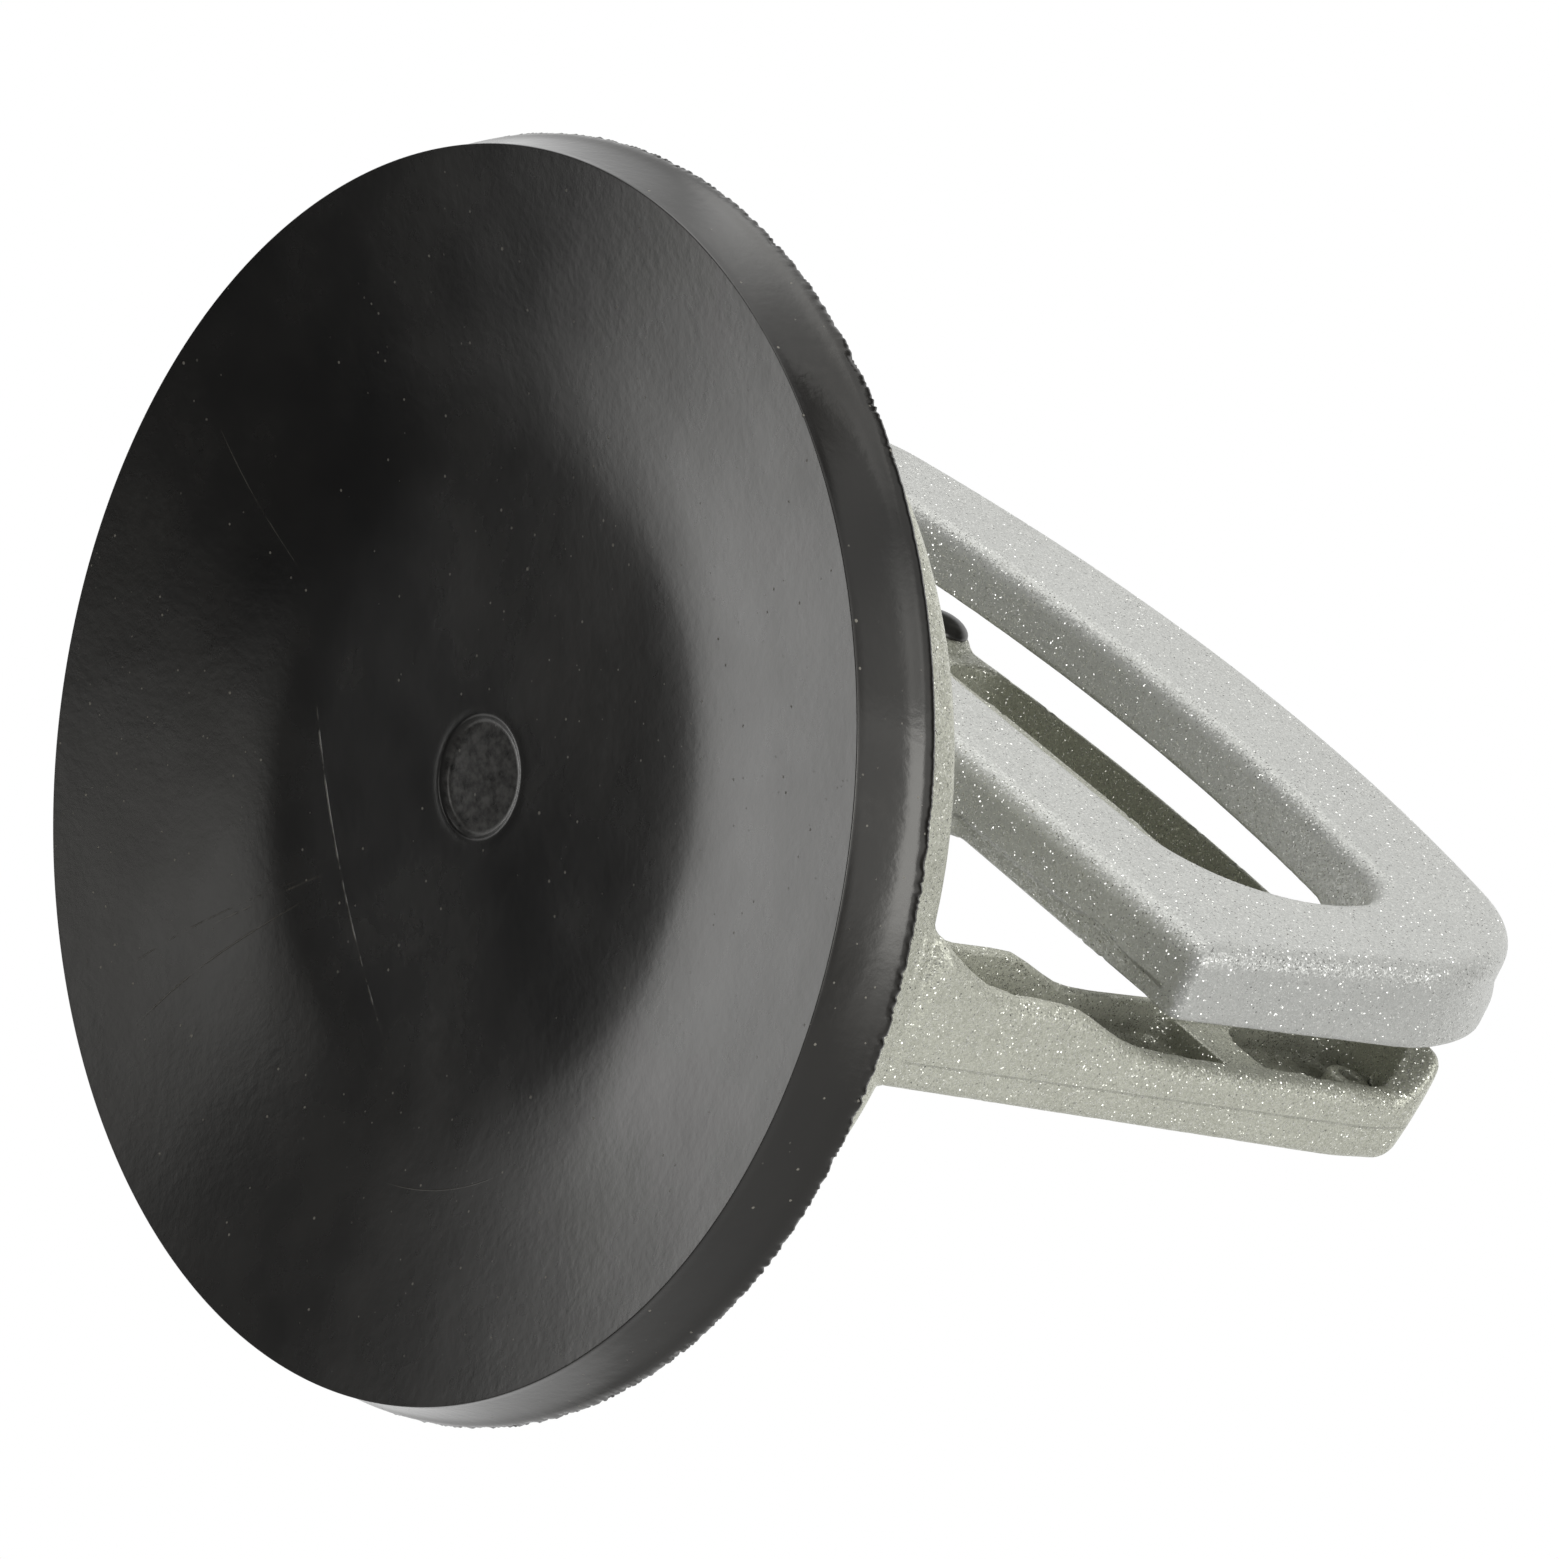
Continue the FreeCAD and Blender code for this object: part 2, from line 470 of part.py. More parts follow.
def make_lever():
    y0 = -24.0
    ring = Part.Face(ring_outer(0, y0)).extrude(V(0, 20, 0))
    ring = ring.cut(Part.Face(ring_inner(0, y0 - 1)).extrude(V(0, 22, 0)))
    # top face plane
    above = [(lev_top(40), 40), (lev_top(110), 110), (40, 110), (40, 40)]
    ring = ring.cut(side_block(above, -80, 80))
    # rounded edges round the top face
    top = [f for f in ring.Faces if f.normalAt(0, 0).getAngle(V(0, -1, -LEV_TILT)) < 0.02]
    ring = ring.makeFillet(LEV_EDGE_R, top[0].Edges)
    # underside: the base bar and the end members are deeper than the grip arc
    zb = LEV_Z1
    under = [(lev_top(40) - LEV_T1 + 0.3, 40), (lev_top(zb) - LEV_T1, zb), (lev_top(78) - LEV_T2, 78),
             (lev_top(110) - LEV_T2, 110), (-10, 110), (-10, 40)]
    ring = ring.cut(side_block(under, -80, 80))
    gz0 = 74.0
    grip_under = [(lev_top(gz0) - LEV_TG, gz0), (lev_top(110) - LEV_TG, 110), (-10, 110), (-10, gz0)]
    gw = poly_face([V(-44, 0, gz0), V(44, 0, gz0), V(37, 0, 110), V(-37, 0, 110)]).extrude(V(0, -40, 0))
    gw = gw.common(side_block(grip_under, -80, 80))
    # keep the relief to the grip arc only, clear of the end members
    ring = ring.cut(gw)
    # hollow underside: walls all round, ribs left across the corners
    hol = Part.Face(ring_outer(LEV_WALL, y0)).extrude(V(0, 20, 0)).cut(
        Part.Face(ring_inner(LEV_WALL, y0 - 1)).extrude(V(0, 22, 0)))
    skin = [(lev_top(40) - LEV_SKIN, 40), (lev_top(110) - LEV_SKIN, 110), (-10, 110), (-10, 40)]
    hol = hol.common(side_block(skin, -80, 80))
    for x in (28.0, -28.0):
        hol = hol.cut(Part.makeBox(2.0, 60, 80, V(x - 1.0, -60, 40)))
    hol = hol.cut(Part.makeBox(2 * STEM_X1, 60, 14.0, V(-STEM_X1, -60, 40)))
    for x in (-70, 38.0):
        hol = hol.cut(Part.makeBox(32.0, 60, 2.0, V(x, -60, 72.0)))
    ring = ring.cut(hol)

    # stem: a tapering web from the base bar down to the two cheeks
    n1, n0 = lev_top(LEV_Z1), lev_top(LEV_Z1) - LEV_T1
    web = [(n1 + 0.25, 50.2), (n1 - 0.02, LEV_Z1), (8.4, PIN_Z + 4.6), (4.6, PIN_Z + 3.2), (-1.2, PIN_Z + 6.2),
           (n0 - 0.02, LEV_Z1), (n0 + 0.1, 50.2)]
    stem = side_block(web, -STEM_X1, STEM_X1)
    # taper in width
    tap = poly_face([V(-STEM_X1, 0, 51), V(STEM_X1, 0, 51), V(STEM_X1, 0, LEV_Z1 - 0.5), V(STEM_X0, 0, 38.5),
                     V(STEM_X0, 0, 30), V(-STEM_X0, 0, 30), V(-STEM_X0, 0, 38.5), V(-STEM_X1, 0, LEV_Z1 - 0.5)])
    stem = stem.common(tap.extrude(V(0, -40, 0)).fuse(tap.extrude(V(0, 20, 0))))
    # the flanks are lower than the middle
    drop = [(n1 - STEM_DROP, LEV_Z1), (8.4 - STEM_DROP, PIN_Z + 4.6), (30, PIN_Z + 4.6), (30, LEV_Z1)]
    for x0, x1 in ((STEM_MID, STEM_X1 + 1), (-STEM_X1 - 1, -STEM_MID)):
        stem = stem.cut(side_block(drop, x0, x1))

    ears = None
    cam = cam_profile()
    for x0, x1 in ((EAR_X0, EAR_X1), (-EAR_X1, -EAR_X0)):
        hub = xcyl(CAM_H0 - CAM_GAP - CAM_RATE * math.radians(OPEN_DEG) - 0.06, x0, x1, PIN_Z)
        pts = [V(x0, p[0], PIN_Z + p[1]) for p in cam]
        pts += [V(x0, -3.6, PIN_Z + 1.0), V(x0, -8.0, PIN_Z + 5.4), V(x0, -3.4, PIN_Z + 8.2), V(x0, 2.4, PIN_Z + 6.6),
                V(x0, 6.6, PIN_Z + 2.2), V(x0, 7.6, PIN_Z - 3.0), V(x0, 6.4, PIN_Z - 6.6)]
        e = poly_face(pts).extrude(V(x1 - x0, 0, 0)).fuse(hub)
        ears = e if ears is None else ears.fuse(e)
    s = ring.fuse(stem).fuse(ears)
    # room for the stud's eye between the cheeks
    s = s.cut(xcyl(8.2, -EAR_X0, EAR_X0, PIN_Z))
    s = s.cut(xcyl(PIN_R + PIN_CLR, -30, 30, PIN_Z))
    return clean(s)


# =============================================================================
PARTS = [
    ("body_casting", make_body),
    ("suction_pad", make_pad),
    ("pad_insert_plate", make_insert),
    ("lift_stud", make_stud),
    ("stud_lock_nut", make_nut),
    ("guide_bush", make_bush),
    ("cam_wear_plate", make_wear_plate),
    ("hinge_pin", make_pin),
    ("pin_washers", make_washers),
    ("pin_clips", make_clips),
    ("lever_casting", make_lever),
    ("lever_buffer", make_buffer),
]

os.makedirs("parts", exist_ok=True)
for name, fn in PARTS:
    shape = fn()
    bb = shape.BoundBox
    print("%-18s solids %d valid %s vol %.0f  x %.1f..%.1f  y %.1f..%.1f  z %.1f..%.1f" % (
        name, len(shape.Solids), shape.isValid(), shape.Volume,
        bb.XMin, bb.XMax, bb.YMin, bb.YMax, bb.ZMin, bb.ZMax))
    shape.exportStep("parts/%s.step" % name)
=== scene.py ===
import bpy
import math
import json
import numpy as np
from mathutils import Matrix, Vector


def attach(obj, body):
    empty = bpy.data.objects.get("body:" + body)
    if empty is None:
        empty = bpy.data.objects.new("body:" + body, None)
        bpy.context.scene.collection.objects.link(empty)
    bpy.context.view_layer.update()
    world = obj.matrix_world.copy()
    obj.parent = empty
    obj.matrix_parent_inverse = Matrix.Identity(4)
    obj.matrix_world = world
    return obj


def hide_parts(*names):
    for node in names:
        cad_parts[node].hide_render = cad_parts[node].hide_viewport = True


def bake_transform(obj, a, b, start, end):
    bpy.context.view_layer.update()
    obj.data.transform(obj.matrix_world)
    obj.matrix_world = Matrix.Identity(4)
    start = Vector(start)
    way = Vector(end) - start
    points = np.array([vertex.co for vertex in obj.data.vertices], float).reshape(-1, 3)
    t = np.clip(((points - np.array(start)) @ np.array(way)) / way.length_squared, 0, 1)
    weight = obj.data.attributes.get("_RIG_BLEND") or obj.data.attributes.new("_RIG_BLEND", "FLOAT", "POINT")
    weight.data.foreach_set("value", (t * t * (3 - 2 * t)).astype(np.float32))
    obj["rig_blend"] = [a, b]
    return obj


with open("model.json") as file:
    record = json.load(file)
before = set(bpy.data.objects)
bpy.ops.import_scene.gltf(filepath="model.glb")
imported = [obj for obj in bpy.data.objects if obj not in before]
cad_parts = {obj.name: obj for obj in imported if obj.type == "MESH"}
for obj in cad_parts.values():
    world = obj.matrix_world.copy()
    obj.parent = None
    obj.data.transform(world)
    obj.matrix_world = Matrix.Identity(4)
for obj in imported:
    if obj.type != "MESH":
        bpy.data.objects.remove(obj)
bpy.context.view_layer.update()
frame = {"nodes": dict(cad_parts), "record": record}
nodes = frame["nodes"]
scene = bpy.context.scene
MM = 0.001
GRID_BODY, GRID_LEVER = 0.5, 0.45   # sampling step of the castings, mm

# =====================================================================
# camera
# =====================================================================
cam_data = bpy.data.cameras.new("camera")
cam = bpy.data.objects.new("camera", cam_data)
scene.collection.objects.link(cam)
right = Vector((0.569129, -0.383725, 0.727219))
fwd = Vector((-0.654532, 0.323886, 0.683145))
up = right.cross(fwd).normalized()
cam.matrix_world = (Matrix.Translation(Vector((0.309010, -0.155501, -0.278052)))
                    @ Matrix((right, up, -fwd)).transposed().to_4x4())
cam_data.sensor_fit = "HORIZONTAL"
cam_data.sensor_width = 36.0
cam_data.lens = 4815.0 / 1559.0 * 36.0
cam_data.clip_start, cam_data.clip_end = 0.01, 10.0
scene.camera = cam


# =====================================================================
# solid modelling by signed distance, in millimetres
# =====================================================================
def rmax(a, b, r):
    """Intersection with a rounded outer edge of radius r."""
    u = np.maximum(a + r, 0)
    v = np.maximum(b + r, 0)
    return np.minimum(-r, np.maximum(a, b)) + np.sqrt(u * u + v * v)


def rmin(a, b, r):
    """Union with a fillet of radius r."""
    u = np.maximum(r - a, 0)
    v = np.maximum(r - b, 0)
    return np.maximum(r, np.minimum(a, b)) - np.sqrt(u * u + v * v)


def smooth(t, a, b):
    t = np.clip((t - a) / (b - a), 0, 1)
    return t * t * (3 - 2 * t)


def grid_mesh(f, lo, hi, h, bs=12):
    """Vertices and quads of the surface f = 0, by naive surface nets on blocks near the surface."""
    lo = np.array(lo, float)
    n = np.ceil((np.array(hi, float) - lo) / h / bs).astype(int) * bs
    F = np.full(tuple(n + 1), 1.0, np.float32)
    nb = n // bs
    c = [lo[i] + (np.arange(nb[i]) + 0.5) * bs * h for i in range(3)]
    C = np.stack(np.meshgrid(*c, indexing="ij"), -1).reshape(-1, 3)
    d = f(C[:, 0], C[:, 1], C[:, 2])
    reach = bs * h * 0.9 * 1.9 + h
    live = np.abs(d) < reach
    idx = np.stack(np.unravel_index(np.arange(len(C)), tuple(nb)), -1)
    for k in np.nonzero(~live & (d < 0))[0]:
        i, j, l = idx[k] * bs
        F[i:i + bs + 1, j:j + bs + 1, l:l + bs + 1] = -1.0
    o = (np.arange(bs + 1) * h)
    ks = np.nonzero(live)[0]
    ox, oy, oz = np.meshgrid(o, o, o, indexing="ij")
    for a in range(0, len(ks), 64):
        part = ks[a:a + 64]
        base = lo + idx[part] * bs * h
        X = (base[:, 0, None, None, None] + ox).astype(np.float32)
        Y = (base[:, 1, None, None, None] + oy).astype(np.float32)
        Z = (base[:, 2, None, None, None] + oz).astype(np.float32)
        R = f(X, Y, Z)
        for q, k in enumerate(part):
            i, j, l = idx[k] * bs
            F[i:i + bs + 1, j:j + bs + 1, l:l + bs + 1] = R[q]
    S = F < 0
    # cells that the surface crosses
    s = S[:-1, :-1, :-1].astype(np.int8)
    cnt = np.zeros(s.shape, np.int8)
    for i in (0, 1):
        for j in (0, 1):
            for k in (0, 1):
                cnt += S[i:S.shape[0] - 1 + i, j:S.shape[1] - 1 + j, k:S.shape[2] - 1 + k]
    act = (cnt > 0) & (cnt < 8)
    ids = np.full(s.shape, -1, np.int64)
    cells = np.argwhere(act)
    ids[act] = np.arange(len(cells))
    acc = np.zeros((len(cells), 3))
    wt = np.zeros(len(cells))
    ci, cj, ck = cells.T
    corners = [(i, j, k) for i in (0, 1) for j in (0, 1) for k in (0, 1)]
    for a in corners:
        for ax in range(3):
            if a[ax]:
                continue
            b = list(a)
            b[ax] = 1
            fa = F[ci + a[0], cj + a[1], ck + a[2]].astype(float)
            fb = F[ci + b[0], cj + b[1], ck + b[2]].astype(float)
            m = (fa < 0) != (fb < 0)
            t = np.where(m, fa / np.where(m, fa - fb, 1), 0)
            p = np.array(a, float)[None, :].repeat(len(cells), 0)
            p[:, ax] += t
            acc[m] += p[m]
            wt[m] += 1
    P = lo + (cells + acc / wt[:, None]) * h
    quads = []
    for ax in range(3):
        sl0 = [slice(None)] * 3
        sl1 = [slice(None)] * 3
        sl0[ax] = slice(0, -1)
        sl1[ax] = slice(1, None)
        A, B = S[tuple(sl0)], S[tuple(sl1)]
        e = np.argwhere(A != B)
        u, v = (ax + 1) % 3, (ax + 2) % 3
        ok = (e[:, u] > 0) & (e[:, v] > 0) & (e[:, u] < s.shape[u]) & (e[:, v] < s.shape[v])
        e = e[ok]
        inside_first = A[tuple(e.T)]
        q = []
        for du, dv in ((0, 0), (-1, 0), (-1, -1), (0, -1)):
            c2 = e.copy()
            c2[:, u] += du
            c2[:, v] += dv
            q.append(ids[tuple(c2.T)])
        q = np.stack(q, 1)
        q[~inside_first] = q[~inside_first][:, ::-1]
        quads.append(q)
    Q = np.concatenate(quads)
    return P, Q


def gradient(f, P, e=0.02):
    g = np.empty_like(P)
    for i in range(3):
        a, b = P.copy(), P.copy()
        a[:, i] += e
        b[:, i] -= e
        g[:, i] = f(a[:, 0], a[:, 1], a[:, 2]) - f(b[:, 0], b[:, 1], b[:, 2])
    return g / (2 * e)


def sdf_object(name, f, lo, hi, h, steps=3):
    P, Q = grid_mesh(f, lo, hi, h)
    P0 = P.copy()
    for _ in range(steps):
        d = f(P[:, 0], P[:, 1], P[:, 2])
        g = gradient(f, P)
        gg = np.maximum((g * g).sum(1), 0.05)
        mv = -(d / gg)[:, None] * g
        ln = np.linalg.norm(mv, axis=1)
        mv *= np.minimum(1, 0.35 * h / np.maximum(ln, 1e-9))[:, None]
        P = P + mv
    off = P - P0
    ln = np.linalg.norm(off, axis=1)
    P = P0 + off * np.minimum(1, 0.8 * h / np.maximum(ln, 1e-9))[:, None]
    g = gradient(f, P, 0.06)
    nrm = g / np.maximum(np.linalg.norm(g, axis=1), 1e-9)[:, None]
    me = bpy.data.meshes.new(name)
    me.vertices.add(len(P))
    me.vertices.foreach_set("co", (P * MM).astype(np.float32).ravel())
    me.loops.add(Q.size)
    me.loops.foreach_set("vertex_index", Q.astype(np.int32).ravel())
    me.polygons.add(len(Q))
    me.polygons.foreach_set("loop_start", np.arange(0, Q.size, 4, dtype=np.int32))
    me.update(calc_edges=True)
    me.validate()
    me.shade_smooth()
    if len(me.vertices) == len(P):
        me.normals_split_custom_set_from_vertices(nrm.astype(np.float32).tolist())
    o = bpy.data.objects.new(name, me)
    scene.collection.objects.link(o)
    print(name, len(P), "vertices", len(Q), "quads")
    return o, P, nrm


# =====================================================================
# shapes
# =====================================================================
BL = math.atan(0.0336)
SB, CB = math.sin(BL), math.cos(BL)

RIM_Z = np.array([15.0, 20.0, 22.2, 23.8, 26.3, 29.3, 32.5, 35.4, 37.7, 40.2, 42.4, 44.9, 47.3, 49.9, 52.9, 56.4, 63.0, 70.0, 79.0, 95.0])
RIM_N = np.array([15.0, 13.0, 12.0, 10.9, 9.45, 8.05, 7.45, 7.3, 7.2, 6.95, 6.15, 5.1, 4.2, 3.7, 3.45, 3.3, 3.05, 2.9, 2.8, 2.7])


def bow(x, y, z):
    ax = np.abs(x)
    u = (y - 2.5) * SB + (z - 20.0) * CB
    w = -(y - 2.5) * CB + (z - 20.0) * SB
    top_u = 72.5 - 0.0022 * x * x
    leg = (ax - (49.0 + 0.128 * u)) / 1.008
    end_w = 0.25 - 0.0135 * (w - 9.0) ** 2 * np.where(w < 9.0, 1.0, 3.0)
    topd = (u - (top_u + end_w)) / 1.03
    outer = rmax(leg, topd, 2.4)
    # window for the hand
    win = rmax(rmax(ax - (38.3 + 0.02 * u), u - (top_u - 13.2), 9.0), -u - 6.0, 0.5)
    form = np.maximum(outer, -win)
    # height of the rims above the back face
    n_rim = np.interp(z, RIM_Z, RIM_N)
    rise = smooth(u, 57.0 + 0.24 * np.clip(ax - 36, 0, 18), 60.6 + 0.24 * np.clip(ax - 36, 0, 18))
    n_top = n_rim + (7.45 - n_rim) * rise
    # the grip bar keeps its full height over the whole of its width
    bar = smooth(ax, 38.0, 33.0)
    n_top = n_top + (7.45 - n_top) * bar
    topf = (-y - n_top) * 0.93
    s = rmax(form, topf, 1.5)
    s = rmax(s, -w, 0.9 + 1.4 * smooth(u, 55.0, 66.0))
    # pockets
    depth = 2.7 - w
    xi = 40.7 + 0.01 * u
    xo = 49.0 + 0.128 * u - 2.3
    p1 = rmax(rmax(xi - ax, ax - xo, 1.6), rmax(3.2 - u, u - 43.2, 1.0), 2.2)
    p2 = rmax(rmax(xi + 0.8 - ax, ax - xo, 1.0), rmax(48.7 - u, u - (top_u - 1.7), 1.0), 5.0)
    sink = rmax(rmax(xi + 0.9 - ax, ax - xo + 0.7, 0.8), rmax(41.5 - u, u - 51.5, 1.0), 1.2)
    sink = rmax(sink, 5.9 - w, 0.4)
    boss = rmax(np.hypot(ax - 49.1, u - 63.0) - 2.3, w - 5.3, 0.6)
    boss = np.maximum(boss, -rmax(np.hypot(ax - 49.1, u - 63.0) - 1.1, 4.2 - w, 0.3))
    g_lo, g_hi = top_u - 10.1, top_u - 1.5
    g = rmax(rmax(g_lo - u, u - g_hi, 1.0), rmax(-21.9 - x, x - 27.0, 1.0), 3.9)
    pk = np.minimum(np.minimum(p1, np.maximum(p2, -boss)), g)
    pk = rmax(pk, depth, 1.0)
    s = rmax(s, -np.minimum(pk, sink), 0.22)
    # post for the buffer
    r = np.hypot(x + 28.6, u - 67.2)
    post = rmax(r - 3.45 - 0.05 * (12.0 - w), w - 13.1, 0.35)
    post = np.maximum(post, 8.0 - w)
    s = rmin(s, post, 1.3)
    # roots keep inside the housing's wall, and stop in its roof
    rr = np.hypot(x, y)
    s = np.maximum(s, 19.4 - z)
    s = rmax(s, (rr - (49.15 + np.maximum(z - 21.0, 0))) * 0.72, 0.8)
    return s


def housing(x, y, z):
    r = np.hypot(x, y)
    wall = (r - (50.65 - 0.14 * (z - 7.95))) / 1.01
    roof = (z - (22.55 - 0.029 * (r - 30.0) * (r > 30) - 0.0)) * 0.995
    s = rmax(wall, roof, 1.9)
    s = rmax(s, 7.95 - z, 0.3)
    cav = rmax(r - 46.2, z - (18.9 - 0.02 * np.maximum(r - 20, 0)), 4.0)
    s = np.maximum(s, -cav)
    boss = rmax(r - 15.5, z - 24.0, 0.6)
    boss = np.maximum(boss, 20.0 - z)
    s = rmin(s, boss, 1.6)
    ribs = None
    for y0 in (-4.3, 5.2):
        rb = rmax(np.abs(y - y0) - 1.2, z - (24.1 + 0.02 * (np.abs(x) - 20)), 0.5)
        rb = np.maximum(np.maximum(rb, 20.5 - z), np.maximum(13.0 - np.abs(x), np.abs(x) - 40.5))
        ribs = rb if ribs is None else np.minimum(ribs, rb)
    s = rmin(s, ribs, 0.8)
    s = np.maximum(s, 6.0 - r)
    return s


def body_shape(x, y, z):
    a, b = housing(x, y, z), bow(x, y, z)
    k = 0.35 + 2.2 * smooth(np.abs(x), 47.3, 43.5)
    s = rmin(a, b, k)
    return s


TAN = 0.094


def lever_top(z):
    return 16.72 + TAN * (z - 53.0)


PIN_Z = 33.4
CAM_H0, CAM_GAP, CAM_RATE = 8.2, 0.30, 4.297


def lever_shape(x, y, z):
    n = -y
    ax = np.abs(x)
    base = 47.6 - z
    end = (ax - (54.1 + 0.207 * (z - 47.6))) / 1.021
    arc = (z - (100.55 - 0.0029 * x * x)) / np.sqrt(1 + (0.0058 * x) ** 2)
    outer = rmax(rmax(end, arc, 16.5), base, 1.4)
    hole = rmax(rmax(59.2 - z, ax - 46.5, 14.5), (z - (85.7 - 0.0026 * x * x)) / np.sqrt(1 + (0.0052 * x) ** 2), 4.8)
    outer = outer - 0.55 * smooth(lever_top(z) - n, 4.0, 6.5) * smooth(z, 78.0, 88.0)
    form = np.maximum(outer, -hole)
    tl = (n - lever_top(z)) * 0.995
    s = rmax(form, tl, 2.1)
    # underside: deeper at the end members than under the grip arc
    t_end = np.interp(z, [47.6, 78.0, 101.0], [7.6, 9.0, 9.2])
    t_arc = 6.35
    arcness = smooth(z, 72.0, 78.0) * smooth(ax, 44.0, 36.0)
    low = lever_top(z) - (t_end + (t_arc - t_end) * arcness)
    s = rmax(s, (low - n) * 0.97, 0.6)
    # shallow step low on the base bar's outer wall
    ns = 10.6 + 0.85 * np.exp(-((ax - 41.6) / 3.4) ** 2) - 0.25 * smooth(ax, 50, 54)
    fade = smooth(ax, 53.5, 47.5)
    step = rmax(n - ns, z - (47.75 + fade * (0.28 + 0.12 * (ns - n))), 0.10)
    s = rmax(s, -step, 0.10)
    # hollow underside
    cav = rmax(form + 2.3, -(lever_top(z) - 2.7 - n), 0.8)
    rib = np.minimum(np.abs(ax - 28.0) - 1.0, np.maximum(ax - 19.5, z - 56.5))
    rib = np.minimum(rib, np.maximum(np.abs(z - 73.0) - 1.0, 40 - ax))
    cav = np.maximum(cav, -rib)
    s = rmax(s, -cav, 0.3)
    # stem
    st_hi = (n - (8.6 + 0.80 * (z - 38.0) - 6.2 * smooth(ax, 12.5, 17.0))) / 1.4
    st_lo = ((0.2 + 0.92 * (z - 39.6)) - n) / 1.36
    half = np.interp(z, [30.0, 38.0, 47.2, 52.0], [11.3, 11.3, 20.0, 20.6])
    stem = rmax(rmax(st_hi, st_lo, 1.2), (ax - half) * 0.8, 1.6)
    stem = np.maximum(np.maximum(stem, z - 52.5), n - (lever_top(z) - 1.0))
    stem = rmax(stem, 34.0 - z, 1.0)
    # cheeks with their cams
    zz, yy = z - PIN_Z, y
    cam_d = None
    for a in np.radians(np.linspace(-4.5, 39.0, 15)):
        hgt = CAM_H0 - CAM_GAP - CAM_RATE * a
        d = -math.sin(a) * yy - math.cos(a) * zz - hgt
        cam_d = d if cam_d is None else np.maximum(cam_d, d)
    back = np.maximum(yy * 0.94 + zz * 0.34 - 6.9, yy * 0.62 + zz * 0.78 - 6.4)
    front = -yy * 0.97 + zz * 0.25 - 5.2
    cheek = rmax(rmax(cam_d, back, 0.8), front, 0.8)
    cheek = rmax(cheek, zz - 7.0, 1.0)
    cheek = rmax(cheek, np.maximum(5.9 - ax, ax - 11.3), 0.4)
    s2 = rmin(stem, cheek, 1.2)
    s2 = np.maximum(s2, -np.maximum(np.hypot(yy, zz) - 8.2, ax - 5.9))
    s = rmin(s, s2, 1.6)
    # spot face for the clips
    s = rmax(s, -rmax(np.hypot(yy, zz) - 5.7, 11.42 - ax, 0.2), 0.2)
    s = np.maximum(s, -(np.hypot(yy, zz) - 3.06))
    return s


# =====================================================================
# materials
# =====================================================================
class Tree:
    """A small helper for building node trees."""

    def __init__(self, tree):
        self.t = tree
        tree.nodes.clear()

    def node(self, kind, **props):
        n = self.t.nodes.new(kind)
        for k, v in props.items():
            setattr(n, k, v)
        return n

    def put(self, sock, v):
        if isinstance(v, bpy.types.NodeSocket):
            self.t.links.new(v, sock)
        elif isinstance(v, (tuple, list)) and len(v) == 3 and sock.type == "RGBA":
            sock.default_value = (*v, 1)
        else:
            sock.default_value = v

    def math(self, op, a, b=None, c=None, clamp=False):
        n = self.node("ShaderNodeMath", operation=op, use_clamp=clamp)
        self.put(n.inputs[0], a)
        if b is not None:
            self.put(n.inputs[1], b)
        if c is not None:
            self.put(n.inputs[2], c)
        return n.outputs[0]

    def vmath(self, op, a, b=None, scale=None):
        n = self.node("ShaderNodeVectorMath", operation=op)
        self.put(n.inputs[0], a)
        if b is not None:
            self.put(n.inputs[1], b)
        if scale is not None:
            self.put(n.inputs["Scale"], scale)
        return n.outputs["Value"] if op in ("DOT_PRODUCT", "LENGTH", "DISTANCE") else n.outputs[0]

    def ramp(self, v, a, b, lo=0.0, hi=1.0, smooth=True):
        n = self.node("ShaderNodeMapRange", interpolation_type="SMOOTHSTEP" if smooth else "LINEAR")
        self.put(n.inputs[0], v)
        for k, x in zip((1, 2, 3, 4), (a, b, lo, hi)):
            n.inputs[k].default_value = x
        return n.outputs[0]

    def mix(self, f, a, b):
        n = self.node("ShaderNodeMix", data_type="RGBA")
        self.put(n.inputs[0], f)
        self.put(n.inputs[6], a)
        self.put(n.inputs[7], b)
        return n.outputs[2]

    def fmix(self, f, a, b):
        n = self.node("ShaderNodeMix", data_type="FLOAT")
        self.put(n.inputs[0], f)
        self.put(n.inputs[2], a)
        self.put(n.inputs[3], b)
        return n.outputs[0]

    def noise(self, vec, scale, detail=2.0, rough=0.5, out="Factor"):
        n = self.node("ShaderNodeTexNoise")
        self.put(n.inputs["Vector"], vec)
        n.inputs["Scale"].default_value = scale
        n.inputs["Detail"].default_value = detail
        n.inputs["Roughness"].default_value = rough
        return n.outputs[0 if out == "Factor" else 1]

    def voronoi(self, vec, scale, feature="F1", rand=1.0):
        n = self.node("ShaderNodeTexVoronoi", feature=feature)
        self.put(n.inputs["Vector"], vec)
        n.inputs["Scale"].default_value = scale
        n.inputs["Randomness"].default_value = rand
        return n

    def bump(self, height, dist, strength=1.0, normal=None):
        n = self.node("ShaderNodeBump")
        n.inputs["Strength"].default_value = strength
        n.inputs["Distance"].default_value = dist
        self.put(n.inputs["Height"], height)
        if normal is not None:
            self.put(n.inputs["Normal"], normal)
        return n.outputs[0]


